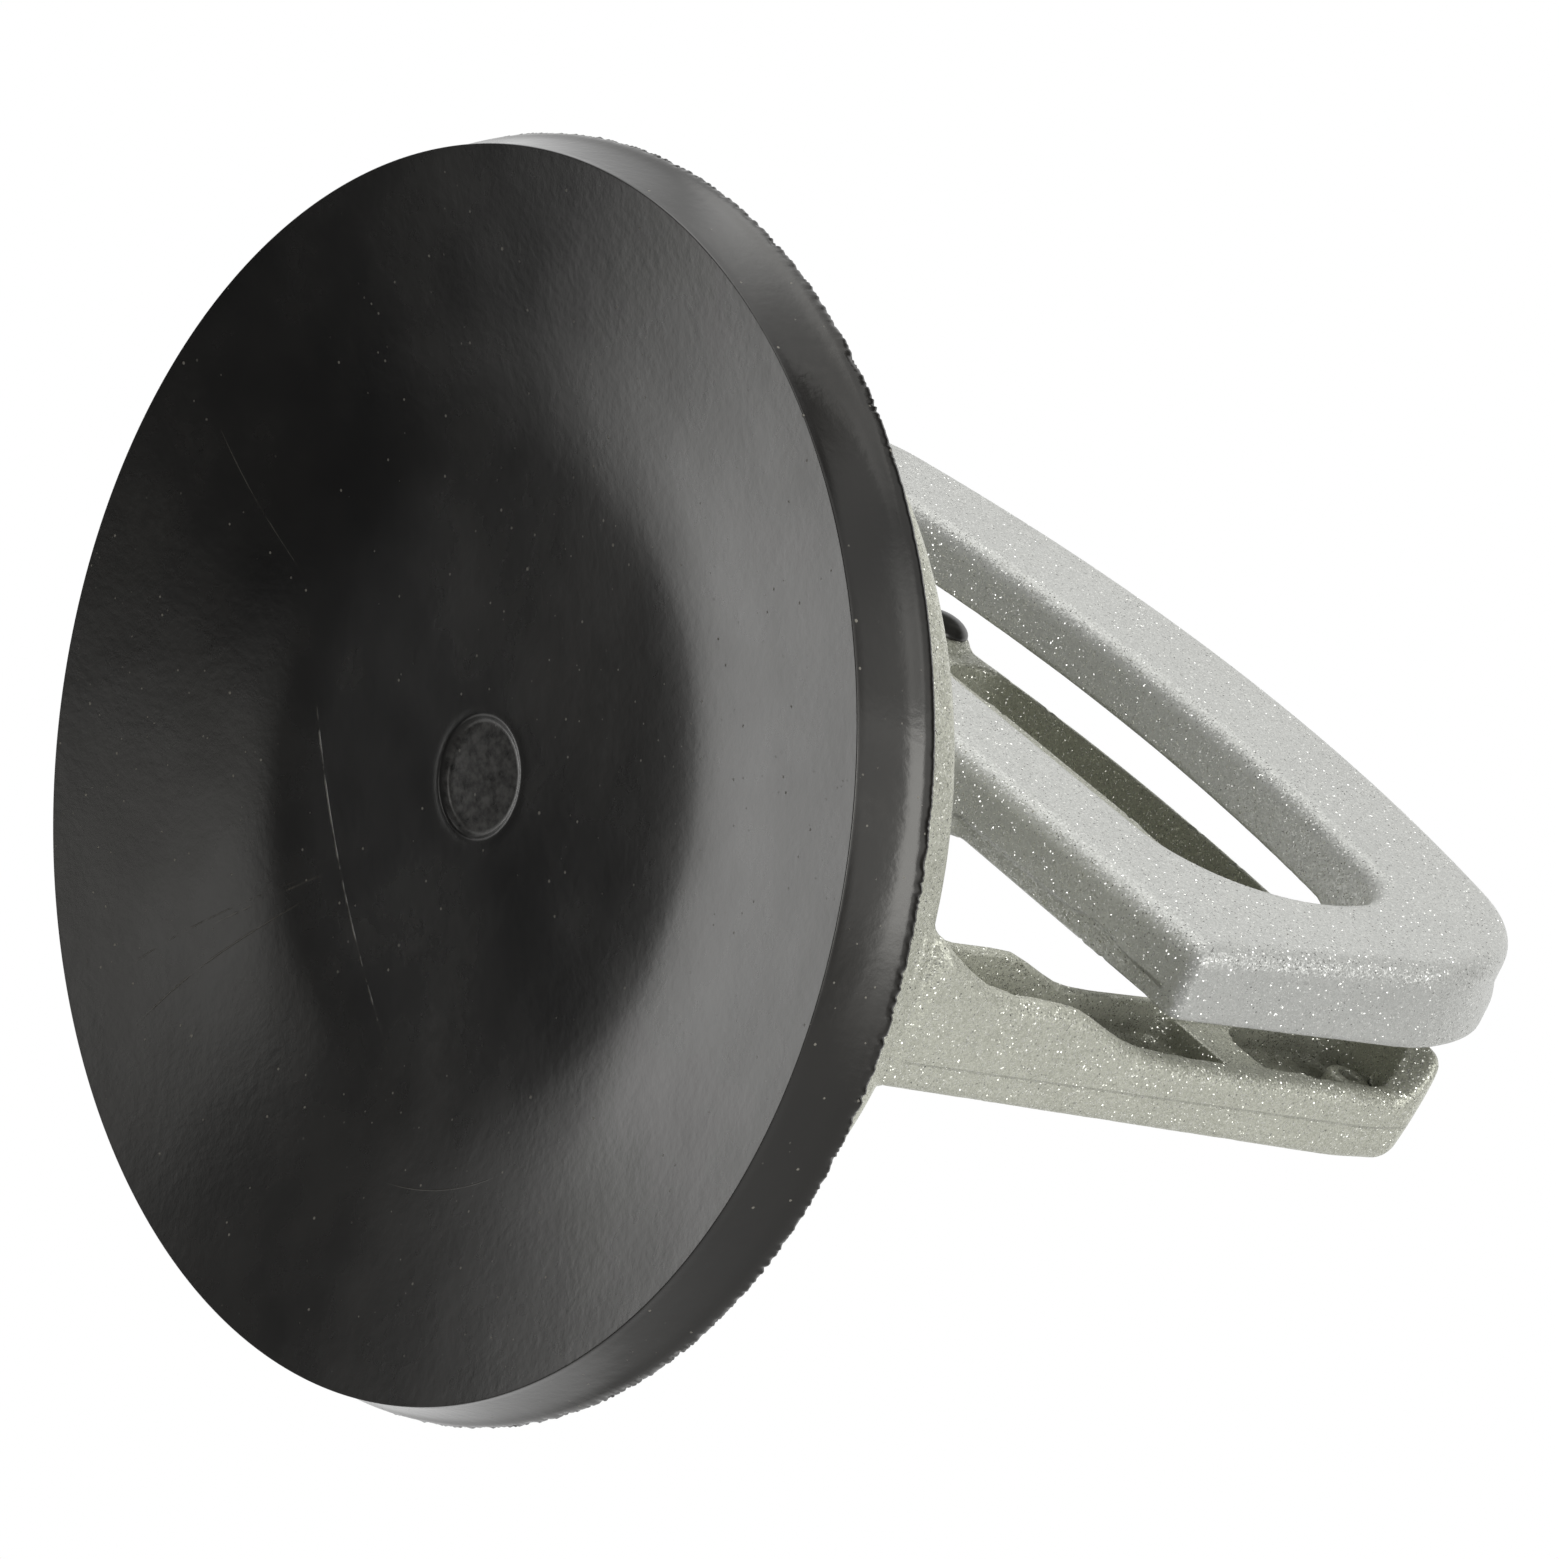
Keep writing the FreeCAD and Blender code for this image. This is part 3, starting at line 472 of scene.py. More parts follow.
def new_material(name):
    m = bpy.data.materials.new(name)
    m.use_nodes = True
    t = Tree(m.node_tree)
    out = t.node("ShaderNodeOutputMaterial")
    bsdf = t.node("ShaderNodeBsdfPrincipled")
    t.t.links.new(bsdf.outputs[0], out.inputs[0])
    co = t.node("ShaderNodeTexCoord").outputs["Object"]
    return m, t, bsdf, co


def flake_paint(name, light, dark, dirt, sparkle):
    """Silver paint with metal flakes in it, over a slightly rough casting."""
    m, t, b, co = new_material(name)
    # flakes: small cells, each with its own tilt; a few lie well off the surface and glint
    fl = t.voronoi(co, 7600.0)
    fl2 = t.voronoi(co, 5200.0)
    rnd = t.node("ShaderNodeSeparateColor")
    t.put(rnd.inputs[0], fl.outputs["Color"])
    rnd2 = t.node("ShaderNodeSeparateColor")
    t.put(rnd2.inputs[0], fl2.outputs["Color"])
    glint = t.ramp(rnd.outputs[0], 1.0 - 1.15 * sparkle, 1.0 - 0.85 * sparkle)
    big = t.math("MULTIPLY", t.ramp(rnd2.outputs[0], 0.950, 0.980), t.ramp(fl2.outputs["Distance"], 0.30, 0.14))
    glint = t.math("MAXIMUM", glint, big)
    patches = t.noise(co, 80.0, 4.0, 0.6)
    soft = t.noise(co, 28.0, 2.0)
    grain = t.noise(co, 2300.0, 3.0, 0.7)
    tone = t.math("ADD", t.math("MULTIPLY", rnd.outputs[1], 0.44),
                  t.math("ADD", t.math("MULTIPLY", grain, 0.62), t.math("MULTIPLY", patches, 0.26)))
    col = t.mix(t.ramp(tone, 0.36, 0.96), dark, light)
    # thumb grime, and bare specks where the coat is chipped
    grime_and_shade = t.math("MULTIPLY", t.ramp(soft, 0.50, 0.74), t.ramp(t.noise(co, 420.0, 3.0, 0.7), 0.40, 0.68))
    col = t.mix(t.math("MULTIPLY", grime_and_shade, 0.20), col, dirt)
    chip = t.math("MULTIPLY", t.ramp(t.noise(co, 640.0, 2.0, 0.5), 0.745, 0.765), t.ramp(soft, 0.42, 0.55))
    col = t.mix(t.math("MULTIPLY", chip, 0.28), col, (0.17, 0.17, 0.16))
    col = t.mix(t.math("MULTIPLY", glint, 0.44), col, (0.93, 0.93, 0.88))
    t.put(b.inputs["Base Color"], col)
    t.put(b.inputs["Metallic"], t.fmix(glint, 0.38, 0.90))
    rough = t.math("ADD", t.math("MULTIPLY", rnd.outputs[2], 0.10), t.math("MULTIPLY", patches, 0.20))
    rough = t.math("ADD", rough, t.fmix(glint, 0.25, 0.10))
    t.put(b.inputs["Roughness"], rough)
    nrm = t.bump(t.noise(co, 300.0, 3.0, 0.55), 0.00006, 0.7)
    nrm = t.bump(grain, 0.00004, 0.8, nrm)
    tilt = t.vmath("SUBTRACT", fl.outputs["Color"], (0.5, 0.5, 0.5))
    tilt2 = t.vmath("SUBTRACT", fl2.outputs["Color"], (0.5, 0.5, 0.5))
    tilt = t.vmath("ADD", t.vmath("SCALE", tilt, scale=t.fmix(glint, 0.46, 1.5)), t.vmath("SCALE", tilt2, scale=t.math("MULTIPLY", big, 0.45)))
    nrm = t.vmath("NORMALIZE", t.vmath("ADD", nrm, tilt))
    t.put(b.inputs["Normal"], nrm)
    return m


SCRATCHES = (((-25.4, 6.1), (-12.1, 18.4), (4.2, 28.5), 0.00009, 1.0),
             ((-49.0, -12.0), (-41.0, -7.0), (-33.0, -3.5), 0.00005, 0.5),
             ((-26.0, 44.0), (-22.0, 33.0), (-15.5, 22.5), 0.00008, 0.6),
             ((-31.0, 40.5), (-25.0, 30.5), (-17.0, 21.0), 0.00006, 0.5),
             ((-24.5, 31.0), (-19.5, 24.5), (-14.5, 19.0), 0.00010, 0.6),
             ((12.0, 37.0), (19.5, 33.0), (26.5, 26.0), 0.00005, 0.4))


def circle3(a, b, c):
    """Centre and radius of the circle through three points."""
    d = 2 * (a[0] * (b[1] - c[1]) + b[0] * (c[1] - a[1]) + c[0] * (a[1] - b[1]))
    a2, b2, c2 = (p[0] ** 2 + p[1] ** 2 for p in (a, b, c))
    ux = (a2 * (b[1] - c[1]) + b2 * (c[1] - a[1]) + c2 * (a[1] - b[1])) / d
    uy = (a2 * (c[0] - b[0]) + b2 * (a[0] - c[0]) + c2 * (b[0] - a[0])) / d
    return (ux, uy), math.hypot(a[0] - ux, a[1] - uy)


def rubber(name):
    """Moulded black rubber: semi-gloss, with dust, fine scratches and scuffs."""
    m, t, b, co = new_material(name)
    big = t.noise(co, 22.0, 3.0, 0.55)
    mid = t.noise(co, 120.0, 4.0, 0.6)
    fine = t.noise(co, 900.0, 3.0, 0.6)
    col = t.mix(t.ramp(t.math("ADD", big, t.math("MULTIPLY", mid, 0.4)), 0.45, 0.95),
                (0.0062, 0.0062, 0.0064), (0.0135, 0.0125, 0.0112))
    # dust: sparse small specks, and finer ones in patches
    specks = None
    for sc, lim, rad in ((420.0, 0.84, 0.085), (900.0, 0.90, 0.15), (1900.0, 0.95, 0.24)):
        v = t.voronoi(co, sc)
        sep = t.node("ShaderNodeSeparateColor")
        t.put(sep.inputs[0], v.outputs["Color"])
        k = t.math("MULTIPLY", t.ramp(sep.outputs[0], lim, lim + 0.03), t.ramp(v.outputs["Distance"], rad, rad * 0.5))
        if sc > 1500:
            k = t.math("MULTIPLY", k, t.ramp(big, 0.50, 0.62))
        specks = k if specks is None else t.math("MAXIMUM", specks, k)
    col = t.mix(t.math("MULTIPLY", specks, 0.62), col, (0.34, 0.32, 0.27))
    # scuffs and wiped haze
    haze = t.math("MULTIPLY", t.ramp(t.noise(co, 46.0, 5.0, 0.60), 0.54, 0.80), t.ramp(fine, 0.30, 0.80))
    col = t.mix(t.math("MULTIPLY", haze, 0.22), col, (0.13, 0.125, 0.115))
    # a few long scratches on the face, each an arc through three points (mm)
    sep = t.node("ShaderNodeSeparateXYZ")
    t.put(sep.inputs[0], co)
    flat = t.node("ShaderNodeCombineXYZ")
    t.put(flat.inputs[0], sep.outputs[0])
    t.put(flat.inputs[1], sep.outputs[1])
    scr = None
    for q0, q1, q2, wdt, amt in SCRATCHES:
        (cx, cy), rr = circle3(q0, q1, q2)
        dist = t.vmath("DISTANCE", flat.outputs[0], (cx * MM, cy * MM, 0.0))
        ln = t.ramp(t.math("ABSOLUTE", t.math("SUBTRACT", dist, rr * MM)), wdt * 1.6, wdt * 0.3)
        dx, dy = q2[0] - q0[0], q2[1] - q0[1]
        le = math.hypot(dx, dy)
        along = t.vmath("DOT_PRODUCT", t.vmath("SUBTRACT", flat.outputs[0], (q0[0] * MM, q0[1] * MM, 0.0)),
                        (dx / le, dy / le, 0.0))
        ln = t.math("MULTIPLY", ln, t.math("MULTIPLY", t.ramp(along, -0.001, 0.004), t.ramp(along, le * MM + 0.001, le * MM - 0.005)))
        side_ = t.vmath("DOT_PRODUCT", t.vmath("SUBTRACT", flat.outputs[0], (cx * MM, cy * MM, 0.0)),
                        ((q1[0] - cx) / rr, (q1[1] - cy) / rr, 0.0))
        ln = t.math("MULTIPLY", ln, t.ramp(side_, 0.0, 0.001))
        ln = t.math("MULTIPLY", ln, t.ramp(t.noise(co, 260.0, 3.0, 0.7), 0.36, 0.60, 0.12 * amt, amt))
        scr = ln if scr is None else t.math("MAXIMUM", scr, ln)
    scr = t.math("MULTIPLY", scr, t.ramp(sep.outputs[2], 0.012, 0.010))
    col = t.mix(t.math("MULTIPLY", scr, 0.45), col, (0.20, 0.18, 0.14))
    # dust that lies in the centre button
    rad_ = t.vmath("LENGTH", flat.outputs[0])
    button = t.math("MULTIPLY", t.ramp(rad_, 0.0058, 0.0050), t.ramp(fine, 0.25, 0.75))
    col = t.mix(t.math("MULTIPLY", button, 0.80), col, (0.13, 0.127, 0.12))
    t.put(b.inputs["Base Color"], col)
    rough = t.math("ADD", t.math("MULTIPLY", big, 0.14), t.math("MULTIPLY", mid, 0.10))
    rough = t.math("ADD", rough, t.math("MULTIPLY", haze, 0.03))
    rough = t.math("ADD", rough, t.math("MULTIPLY", specks, 0.4))
    rough = t.math("ADD", rough, t.ramp(rad_, 0.0579, 0.0582, 0.15, 0.02))
    t.put(b.inputs["Roughness"], rough)
    b.inputs["Specular IOR Level"].default_value = 0.62
    b.inputs["Specular Tint"].default_value = (1.0, 0.985, 0.94, 1.0)
    nrm = t.bump(big, 0.0010, 0.35)
    nrm = t.bump(mid, 0.00005, 0.20, nrm)
    nrm = t.bump(t.math("SUBTRACT", fine, scr), 0.00003, 0.7, nrm)
    t.put(b.inputs["Normal"], nrm)
    return m


def bright_metal(name, lo, hi, rough_lo, rough_hi, scale):
    """Plated or hardened steel and turned brass: fine wear, tool marks and stains."""
    m, t, b, co = new_material(name)
    st = t.noise(t.vmath("MULTIPLY", co, (1.0, 1.0, 7.0)), scale, 4.0, 0.6)
    sm = t.noise(co, 260.0, 3.0, 0.6)
    t.put(b.inputs["Base Color"], t.mix(t.ramp(t.math("ADD", t.math("MULTIPLY", st, 0.6),
                                                      t.math("MULTIPLY", sm, 0.5)), 0.35, 0.8), lo, hi))
    b.inputs["Metallic"].default_value = 1.0
    t.put(b.inputs["Roughness"], t.ramp(st, 0.3, 0.75, rough_lo, rough_hi))
    t.put(b.inputs["Normal"], t.bump(st, 0.00003, 0.7, t.bump(sm, 0.00005, 0.5)))
    return m


def parting_line(m):
    """A fine seam on the legs' outer faces, along the line where the mould parted, and painted shade on the floors of
    the legs' pockets.
    """
    t = Tree.__new__(Tree)
    t.t = m.node_tree
    b = next(n for n in m.node_tree.nodes if n.bl_idname == "ShaderNodeBsdfPrincipled")
    co = t.node("ShaderNodeTexCoord").outputs["Object"]
    rel = t.vmath("SUBTRACT", co, (0.0, 2.5 * MM, 20.0 * MM))
    u = t.vmath("DOT_PRODUCT", rel, (0.0, SB, CB))
    w = t.vmath("DOT_PRODUCT", rel, (0.0, -CB, SB))
    at = t.ramp(u, 0.0, 0.058, 0.0028, 0.0038, smooth=False)
    at = t.math("ADD", at, t.ramp(u, 0.058, 0.070, 0.0, 0.0014))
    gap = t.math("ABSOLUTE", t.math("SUBTRACT", w, at))
    seam = t.ramp(gap, 0.00017, 0.00006)
    sep = t.node("ShaderNodeSeparateXYZ")
    t.put(sep.inputs[0], co)
    ax = t.math("ABSOLUTE", sep.outputs[0])
    out_ = t.math("GREATER_THAN", ax, t.math("MULTIPLY_ADD", u, 0.128, 0.0484))
    seam = t.math("MULTIPLY", t.math("MULTIPLY", seam, out_), t.ramp(u, 0.0015, 0.003))
    # painted shade on the floors of the legs' pockets, where the lever above keeps the light off: weak at the roots,
    # full from 30 mm along the legs, broken up by noise
    inside = t.math("MULTIPLY", t.math("GREATER_THAN", ax, 0.0399), t.math("LESS_THAN", ax, t.math("MULTIPLY_ADD", u, 0.128, 0.0474)))
    low_ = t.math("MULTIPLY", t.ramp(w, 0.0066, 0.0036), t.ramp(w, 0.0012, 0.0018))
    grime_and_shade = t.math("MULTIPLY", t.math("MULTIPLY", inside, low_), t.ramp(u, 0.002, 0.030, 0.15, 1.0))
    grime_and_shade = t.math("MULTIPLY", grime_and_shade, t.ramp(t.noise(co, 500.0, 3.0, 0.6), 0.2, 0.7, 0.55, 1.0))
    col = b.inputs["Base Color"].links[0].from_socket
    # painted shade: the pocket floors are mixed towards a dark olive
    col = t.mix(t.math("MULTIPLY", grime_and_shade, 0.62), col, (0.15, 0.15, 0.12))
    t.put(b.inputs["Base Color"], t.mix(t.math("MULTIPLY", seam, 0.26), col, (0.12, 0.12, 0.105)))
    old = b.inputs["Normal"].links[0].from_socket
    t.put(b.inputs["Normal"], t.bump(t.math("MULTIPLY", seam, -1.0), 0.00012, 0.45, old))


mats = {
    "body_paint": flake_paint("body_paint", (0.69, 0.695, 0.595), (0.45, 0.455, 0.38), (0.20, 0.19, 0.15), 0.15),
    "lever_paint": flake_paint("lever_paint", (0.64, 0.645, 0.615), (0.49, 0.495, 0.47), (0.22, 0.22, 0.20), 0.09),
    "black_rubber": rubber("black_rubber"),
    "zinc_steel": bright_metal("zinc_steel", (0.42, 0.42, 0.42), (0.72, 0.73, 0.74), 0.20, 0.42, 900.0),
    "spring_steel": bright_metal("spring_steel", (0.16, 0.16, 0.17), (0.42, 0.42, 0.43), 0.24, 0.50, 700.0),
    "bush_brass": bright_metal("bush_brass", (0.45, 0.31, 0.13), (0.78, 0.58, 0.30), 0.22, 0.44, 800.0),
}
parting_line(mats["body_paint"])
slots = {s["node"]: s["material_slot"] for s in frame["record"]["subparts"]}
for name, o in nodes.items():
    if not o.material_slots:
        o.data.materials.append(mats[slots[name]])
    for sl in o.material_slots:
        sl.material = mats[slots[name]]


body, bp, bn = sdf_object("body_shell", body_shape, (-60, -52, 7), (60, 52, 95), GRID_BODY)
body.data.materials.append(mats["body_paint"])
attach(body, "housing")
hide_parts("body_casting")

lever, lp, ln_ = sdf_object("lever_shell", lever_shape, (-61.5, -23, 24), (61.5, 9, 102.5), GRID_LEVER)
lever.data.materials.append(mats["lever_paint"])
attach(lever, "lever")
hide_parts("lever_casting")

# =====================================================================
# rubber cup: a turned profile with a dense mesh, moulding flash on its rear edge
# =====================================================================
def arc_pts(cx, cz, r, a0, a1, n):
    return [(cx + r * math.cos(math.radians(a0 + (a1 - a0) * i / n)),
             cz + r * math.sin(math.radians(a0 + (a1 - a0) * i / n))) for i in range(n + 1)]


def curve(pts, n):
    """Catmull-Rom through the points, n steps in each span."""
    p = [pts[0]] + list(pts) + [pts[-1]]
    out = []
    for i in range(1, len(p) - 2):
        for k in range(n):
            t = k / n
            out.append(tuple(0.5 * (2 * b + (c - a) * t + (2 * a - 5 * b + 4 * c - d) * t * t
                                    + (3 * b - a - 3 * c + d) * t ** 3)
                             for a, b, c, d in zip(p[i - 1], p[i], p[i + 1], p[i + 2])))
    out.append(tuple(pts[-1]))
    return out


def turned(name, prof, seg, wobble=None, closed_axis=True):
    """Mesh turned from an open (r, z) profile in mm that starts and ends on the axis."""
    prof = np.array(prof, float)
    ang = np.arange(seg) * 2 * math.pi / seg
    inner = prof[1:-1]
    r = inner[:, 0][:, None] * np.ones(seg)[None, :]
    z = inner[:, 1][:, None] * np.ones(seg)[None, :]
    if wobble is not None:
        r, z = wobble(r, z, ang[None, :])
    v = np.stack([r * np.cos(ang), r * np.sin(ang), z], -1).reshape(-1, 3)
    v = np.concatenate([v, [[0, 0, prof[0, 1]], [0, 0, prof[-1, 1]]]])
    n = len(inner)
    i = np.arange(n - 1)[:, None] * seg
    j = np.arange(seg)[None, :]
    jn = (j + 1) % seg
    quads = np.stack([(i + j), (i + jn), (i + seg + jn), (i + seg + j)], -1).reshape(-1, 4)
    faces = [tuple(int(a) for a in q) for q in quads]
    a, b = len(v) - 2, len(v) - 1
    faces += [(a, (k + 1) % seg, k) for k in range(seg)]
    last = (n - 1) * seg
    faces += [(b, last + k, last + (k + 1) % seg) for k in range(seg)]
    me = bpy.data.meshes.new(name)
    me.from_pydata([tuple(p) for p in (v * MM)], [], faces)
    me.validate()
    me.update()
    me.shade_smooth()
    o = bpy.data.objects.new(name, me)
    scene.collection.objects.link(o)
    return o, v


def flip_out(o):
    """Point a closed mesh's faces outwards."""
    import bmesh
    bm = bmesh.new()
    bm.from_mesh(o.data)
    bmesh.ops.recalc_face_normals(bm, faces=bm.faces)
    if bm.calc_volume(signed=True) < 0:
        bmesh.ops.reverse_faces(bm, faces=bm.faces)
    bm.to_mesh(o.data)
    bm.free()
    o.data.update()


rng = np.random.default_rng(11)
tear = np.convolve(rng.random(1440 + 8), np.ones(5) / 5, "same")[4:-4]
tear2 = rng.random(1440)
sway = [(rng.integers(3, 9), rng.random() * 6.3, 0.05), (rng.integers(9, 19), rng.random() * 6.3, 0.03)]


def pad_wobble(r, z, a):
    """Flash left by the mould's split on the rear edge, and a little sway in the rim."""
    seg = r.shape[1]
    edge = np.exp(-((r - 60.0) / 0.35) ** 2 - ((z - 7.05) / 0.34) ** 2)
    # fine teeth all round, nearly clean on one stretch
    off = (np.degrees(a[0]) + 42.0 + 180.0) % 360.0 - 180.0
    rag = 1.0 - 0.88 * np.exp(-(off / 17.0) ** 4)
    bite = tear2[:seg] * 0.26 + np.clip(tear[:seg] - 0.5, 0, 1) * 0.5 + np.clip(tear2[:seg] - 0.86, 0, 1) * 1.2
    r = r + edge * ((0.10 - bite) * rag)[None, :]
    w = sum(m * np.cos(f * a + p) for f, p, m in sway)
    near = np.clip((r - 50.0) / 8.0, 0, 1) * np.clip((7.6 - z) / 2.0, 0, 1) * np.clip(z / 0.8, 0, 1)
    r = r + w * near * 0.8
    return r, z


face = curve([(6.7, 7.44), (9.5, 7.43), (14, 7.42), (20, 7.38), (26, 7.24), (30, 6.96), (33, 6.48), (36, 5.80),
              (39, 5.00), (43, 3.88), (47, 2.82), (51, 1.78), (54, 1.00), (56.4, 0.39)], 4)
prof = [(0.0, 7.86)] + [(r, 7.86 + 0.10 * (r / 5.0) ** 2) for r in (1.2, 2.4, 3.4, 4.2, 4.8)]
prof += [(5.1, 7.94), (5.3, 7.87), (5.5, 7.74), (5.66, 7.58), (5.8, 7.46), (5.95, 7.41), (6.1, 7.40), (6.4, 7.42)]
prof += face
prof += [(57.1, 0.21), (57.6, 0.08), (57.8, 0.03), (57.88, 0.01), (57.92, 0.0), (57.96, 0.03), (57.99, 0.10), (58.02, 0.30), (58.05, 0.60)]
prof += [(58.13, 1.0), (58.29, 1.7), (58.46, 2.4), (58.62, 3.0), (58.80, 3.6), (58.99, 4.2), (59.18, 4.75), (59.34, 5.15),
         (59.50, 5.5), (59.68, 5.85), (59.85, 6.2), (59.96, 6.6), (60.03, 6.95), (59.98, 7.18), (59.75, 7.28), (59.4, 7.36), (58.9, 7.44), (58.0, 7.55),
         (56.6, 7.70), (55.2, 7.80), (52.0, 7.80), (48.0, 7.80), (46.3, 7.82), (45.8, 8.1), (45.6, 9.7), (44.8, 9.9),
         (40.0, 10.7), (33.0, 11.9), (27.0, 12.7), (18.0, 12.95), (10.0, 13.15), (7.6, 13.2), (7.15, 13.1), (7.1, 11.7)]
prof += [(0.0, 11.68)]
pad, pv = turned("pad_rubber", prof, 1440, pad_wobble)
flip_out(pad)
pad.data.materials.append(mats["black_rubber"])
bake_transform(pad, "housing", "stud", (0.055, 0.0, 0.004), (0.010, 0.0, 0.004))
rad = np.hypot(pv[:, 0], pv[:, 1])
# the lip stays on the tile and the middle follows the stud
wts = 1.0 - smooth(rad, 9.0, 50.0)
wts = np.where(rad < 9.0, 1.0, wts)
att = pad.data.attributes["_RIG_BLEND"]
vals = np.zeros(len(pad.data.vertices), np.float32)
vals[:] = wts[:len(vals)]
att.data.foreach_set("value", vals)
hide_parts("suction_pad")

# =====================================================================
# buffer: a domed rubber button pressed into its post
# =====================================================================
BX, BU, BW = -28.6, 67.2, 13.1
bprof = [(0.0, 1.72), (0.5, 1.70), (1.0, 1.64), (1.5, 1.53), (2.0, 1.36), (2.4, 1.17), (2.75, 0.92), (3.0, 0.66),
         (3.12, 0.45), (3.18, 0.25), (3.16, 0.10), (3.0, 0.03), (2.2, 0.02), (1.6, 0.02), (1.5, -0.1), (1.5, -1.4),
         (1.5, -3.0), (1.3, -3.35), (0.9, -3.45), (0.0, -3.47)]
buf, bv = turned("buffer_dome", bprof, 64)
flip_out(buf)
m3 = np.array([[1, 0, 0], [0, SB, -CB], [0, CB, SB]])
co = np.array([v.co[:] for v in buf.data.vertices]) / MM
co = (co + np.array([BX, BU, BW])) @ m3.T + np.array([0, 2.5, 20.0])
buf.data.vertices.foreach_set("co", (co * MM).astype(np.float32).ravel())
buf.data.update()
buf.data.materials.append(mats["black_rubber"])
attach(buf, "housing")
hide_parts("lever_buffer")

# small edge rounding on the turned and stamped metal
for name in ("pad_insert_plate", "lift_stud", "stud_lock_nut", "guide_bush", "cam_wear_plate", "hinge_pin",
             "pin_washers", "pin_clips"):
    bv_ = nodes[name].modifiers.new("edge", "BEVEL")
    bv_.width = 0.00012
    bv_.segments = 2
    bv_.limit_method = "ANGLE"
    bv_.angle_limit = math.radians(40)

# =====================================================================
# floor, light
# =====================================================================
me = bpy.data.meshes.new("floor")
s = 4.0
me.from_pydata([(-s, -s, -0.0004), (s, -s, -0.0004), (s, s, -0.0004), (-s, s, -0.0004)], [], [(0, 1, 2, 3)])
floor = bpy.data.objects.new("floor", me)
scene.collection.objects.link(floor)
fm = bpy.data.materials.new("floor")
fm.use_nodes = True
nt = fm.node_tree
nt.nodes.clear()
out = nt.nodes.new("ShaderNodeOutputMaterial")
mix = nt.nodes.new("ShaderNodeMixShader")
geo = nt.nodes.new("ShaderNodeNewGeometry")
dif = nt.nodes.new("ShaderNodeBsdfDiffuse")
dif.inputs["Color"].default_value = (0.86, 0.86, 0.86, 1)
tr = nt.nodes.new("ShaderNodeBsdfTransparent")
nt.links.new(geo.outputs["Backfacing"], mix.inputs[0])
nt.links.new(dif.outputs[0], mix.inputs[1])
nt.links.new(tr.outputs[0], mix.inputs[2])
nt.links.new(mix.outputs[0], out.inputs[0])
me.materials.append(fm)
floor.visible_shadow = False
floor.visible_diffuse = False
floor.visible_glossy = False
floor.visible_transmission = False

# the studio: a white sweep behind and below, a soft box above and one to the right, and a dark room in front
w = bpy.data.worlds.new("world")
scene.world = w
w.use_nodes = True
t = Tree(w.node_tree)
out = t.node("ShaderNodeOutputWorld")
bg = t.node("ShaderNodeBackground")
t.t.links.new(bg.outputs[0], out.inputs[0])
d = t.node("ShaderNodeTexCoord").outputs["Generated"]
FR, FU, FF = tuple(right), tuple(up), tuple(fwd)


def aim(r_, u_, f_):
    v = (right * r_ + up * u_ + fwd * f_).normalized()
    return tuple(v)


f_ = t.vmath("DOT_PRODUCT", d, FF)
u_ = t.vmath("DOT_PRODUCT", d, FU)
r_ = t.vmath("DOT_PRODUCT", d, FR)
off_level = t.math("SUBTRACT", u_, 0.08)
f2 = t.math("MULTIPLY_ADD", t.math("MULTIPLY", off_level, off_level), t.ramp(r_, -0.70, -0.86, 0.0, 2.0), f_)
sweep = t.math("MULTIPLY", t.ramp(f2, 0.17, 0.62, 0.0, 0.86), t.ramp(r_, 0.30, 0.90, 1.0, 1.5))
table = t.math("MULTIPLY", t.ramp(u_, -0.15, -0.75, 0.0, 0.55), t.ramp(r_, -0.40, 0.05, 0.40, 1.0))
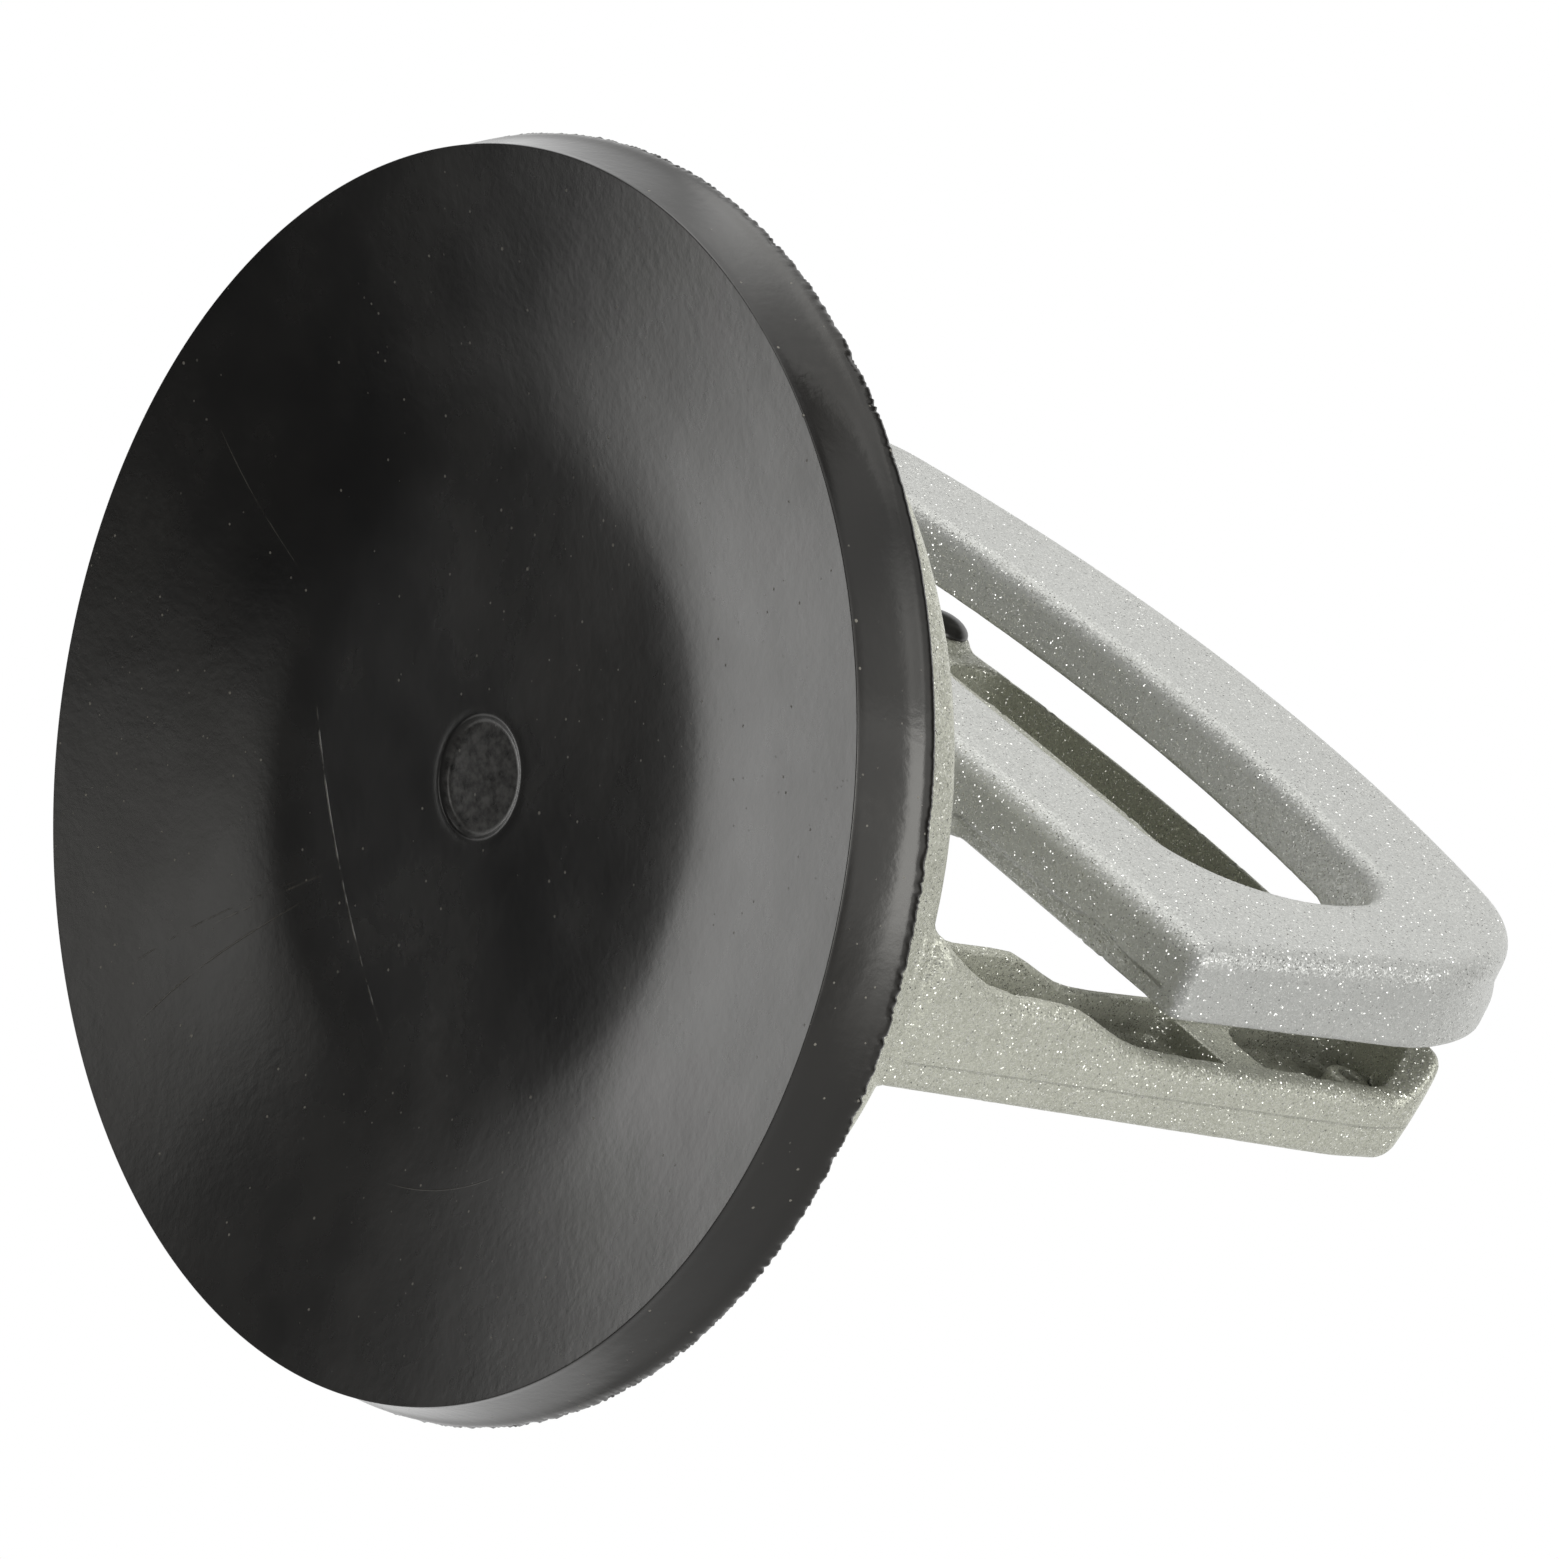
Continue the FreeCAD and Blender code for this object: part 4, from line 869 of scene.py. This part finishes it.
# both boxes have a crisp edge on the side where they meet
top = t.ramp(t.vmath("DOT_PRODUCT", d, aim(0.18, 0.96, -0.08)), 0.74, 0.95, 0.0, 2.35)
top = t.math("MULTIPLY", top, t.math("MULTIPLY", t.ramp(r_, 0.57, 0.53, 0.18, 1.0), t.ramp(r_, 0.44, 0.08, 0.38, 1.0)))
side = t.ramp(t.vmath("DOT_PRODUCT", d, aim(0.62, -0.04, -0.78)), 0.70, 0.93, 0.0, 4.00)
side = t.math("MULTIPLY", side, t.math("MULTIPLY", t.ramp(u_, 0.25, 0.16, 0.30, 1.0), t.ramp(r_, 0.76, 0.66, 0.24, 1.0)))
side = t.math("MULTIPLY", side, t.ramp(u_, -0.52, -0.26, 0.22, 1.0))
side = t.math("MULTIPLY", side, t.ramp(r_, 0.15, 0.47, 0.10, 1.13))
glow = t.ramp(t.vmath("DOT_PRODUCT", d, aim(0.72, 0.55, -0.42)), 0.86, 0.97, 0.0, 0.65)
fill = t.ramp(t.vmath("DOT_PRODUCT", d, aim(-0.30, 0.15, -0.94)), 0.60, 0.95, 0.0, 0.08)
panel = t.ramp(t.vmath("DOT_PRODUCT", d, aim(-0.84, 0.06, 0.54)), 0.957, 0.992, 0.0, 1.50)
low_left = t.ramp(t.vmath("DOT_PRODUCT", d, aim(-0.93, 0.24, -0.34)), 0.972, 0.995, 0.0, 1.50)
light = t.math("ADD", t.math("MAXIMUM", sweep, table), t.math("ADD", t.math("ADD", top, side), t.math("ADD", low_left, panel)))
light = t.math("ADD", light, fill)
light = t.math("ADD", light, t.math("ADD", glow, 0.035))
# the room on the left is only seen in the gloss
matt = t.node("ShaderNodeLightPath").outputs["Is Diffuse Ray"]
light = t.math("MULTIPLY", light, t.fmix(matt, 1.0, t.ramp(r_, -0.60, 0.10, 0.30, 1.0)))
cam_ray = t.node("ShaderNodeLightPath").outputs["Is Camera Ray"]
t.put(bg.inputs["Strength"], t.fmix(cam_ray, light, 1.0))
bg.inputs["Color"].default_value = (1.0, 1.0, 1.0, 1)
scene.view_settings.view_transform = "Standard"
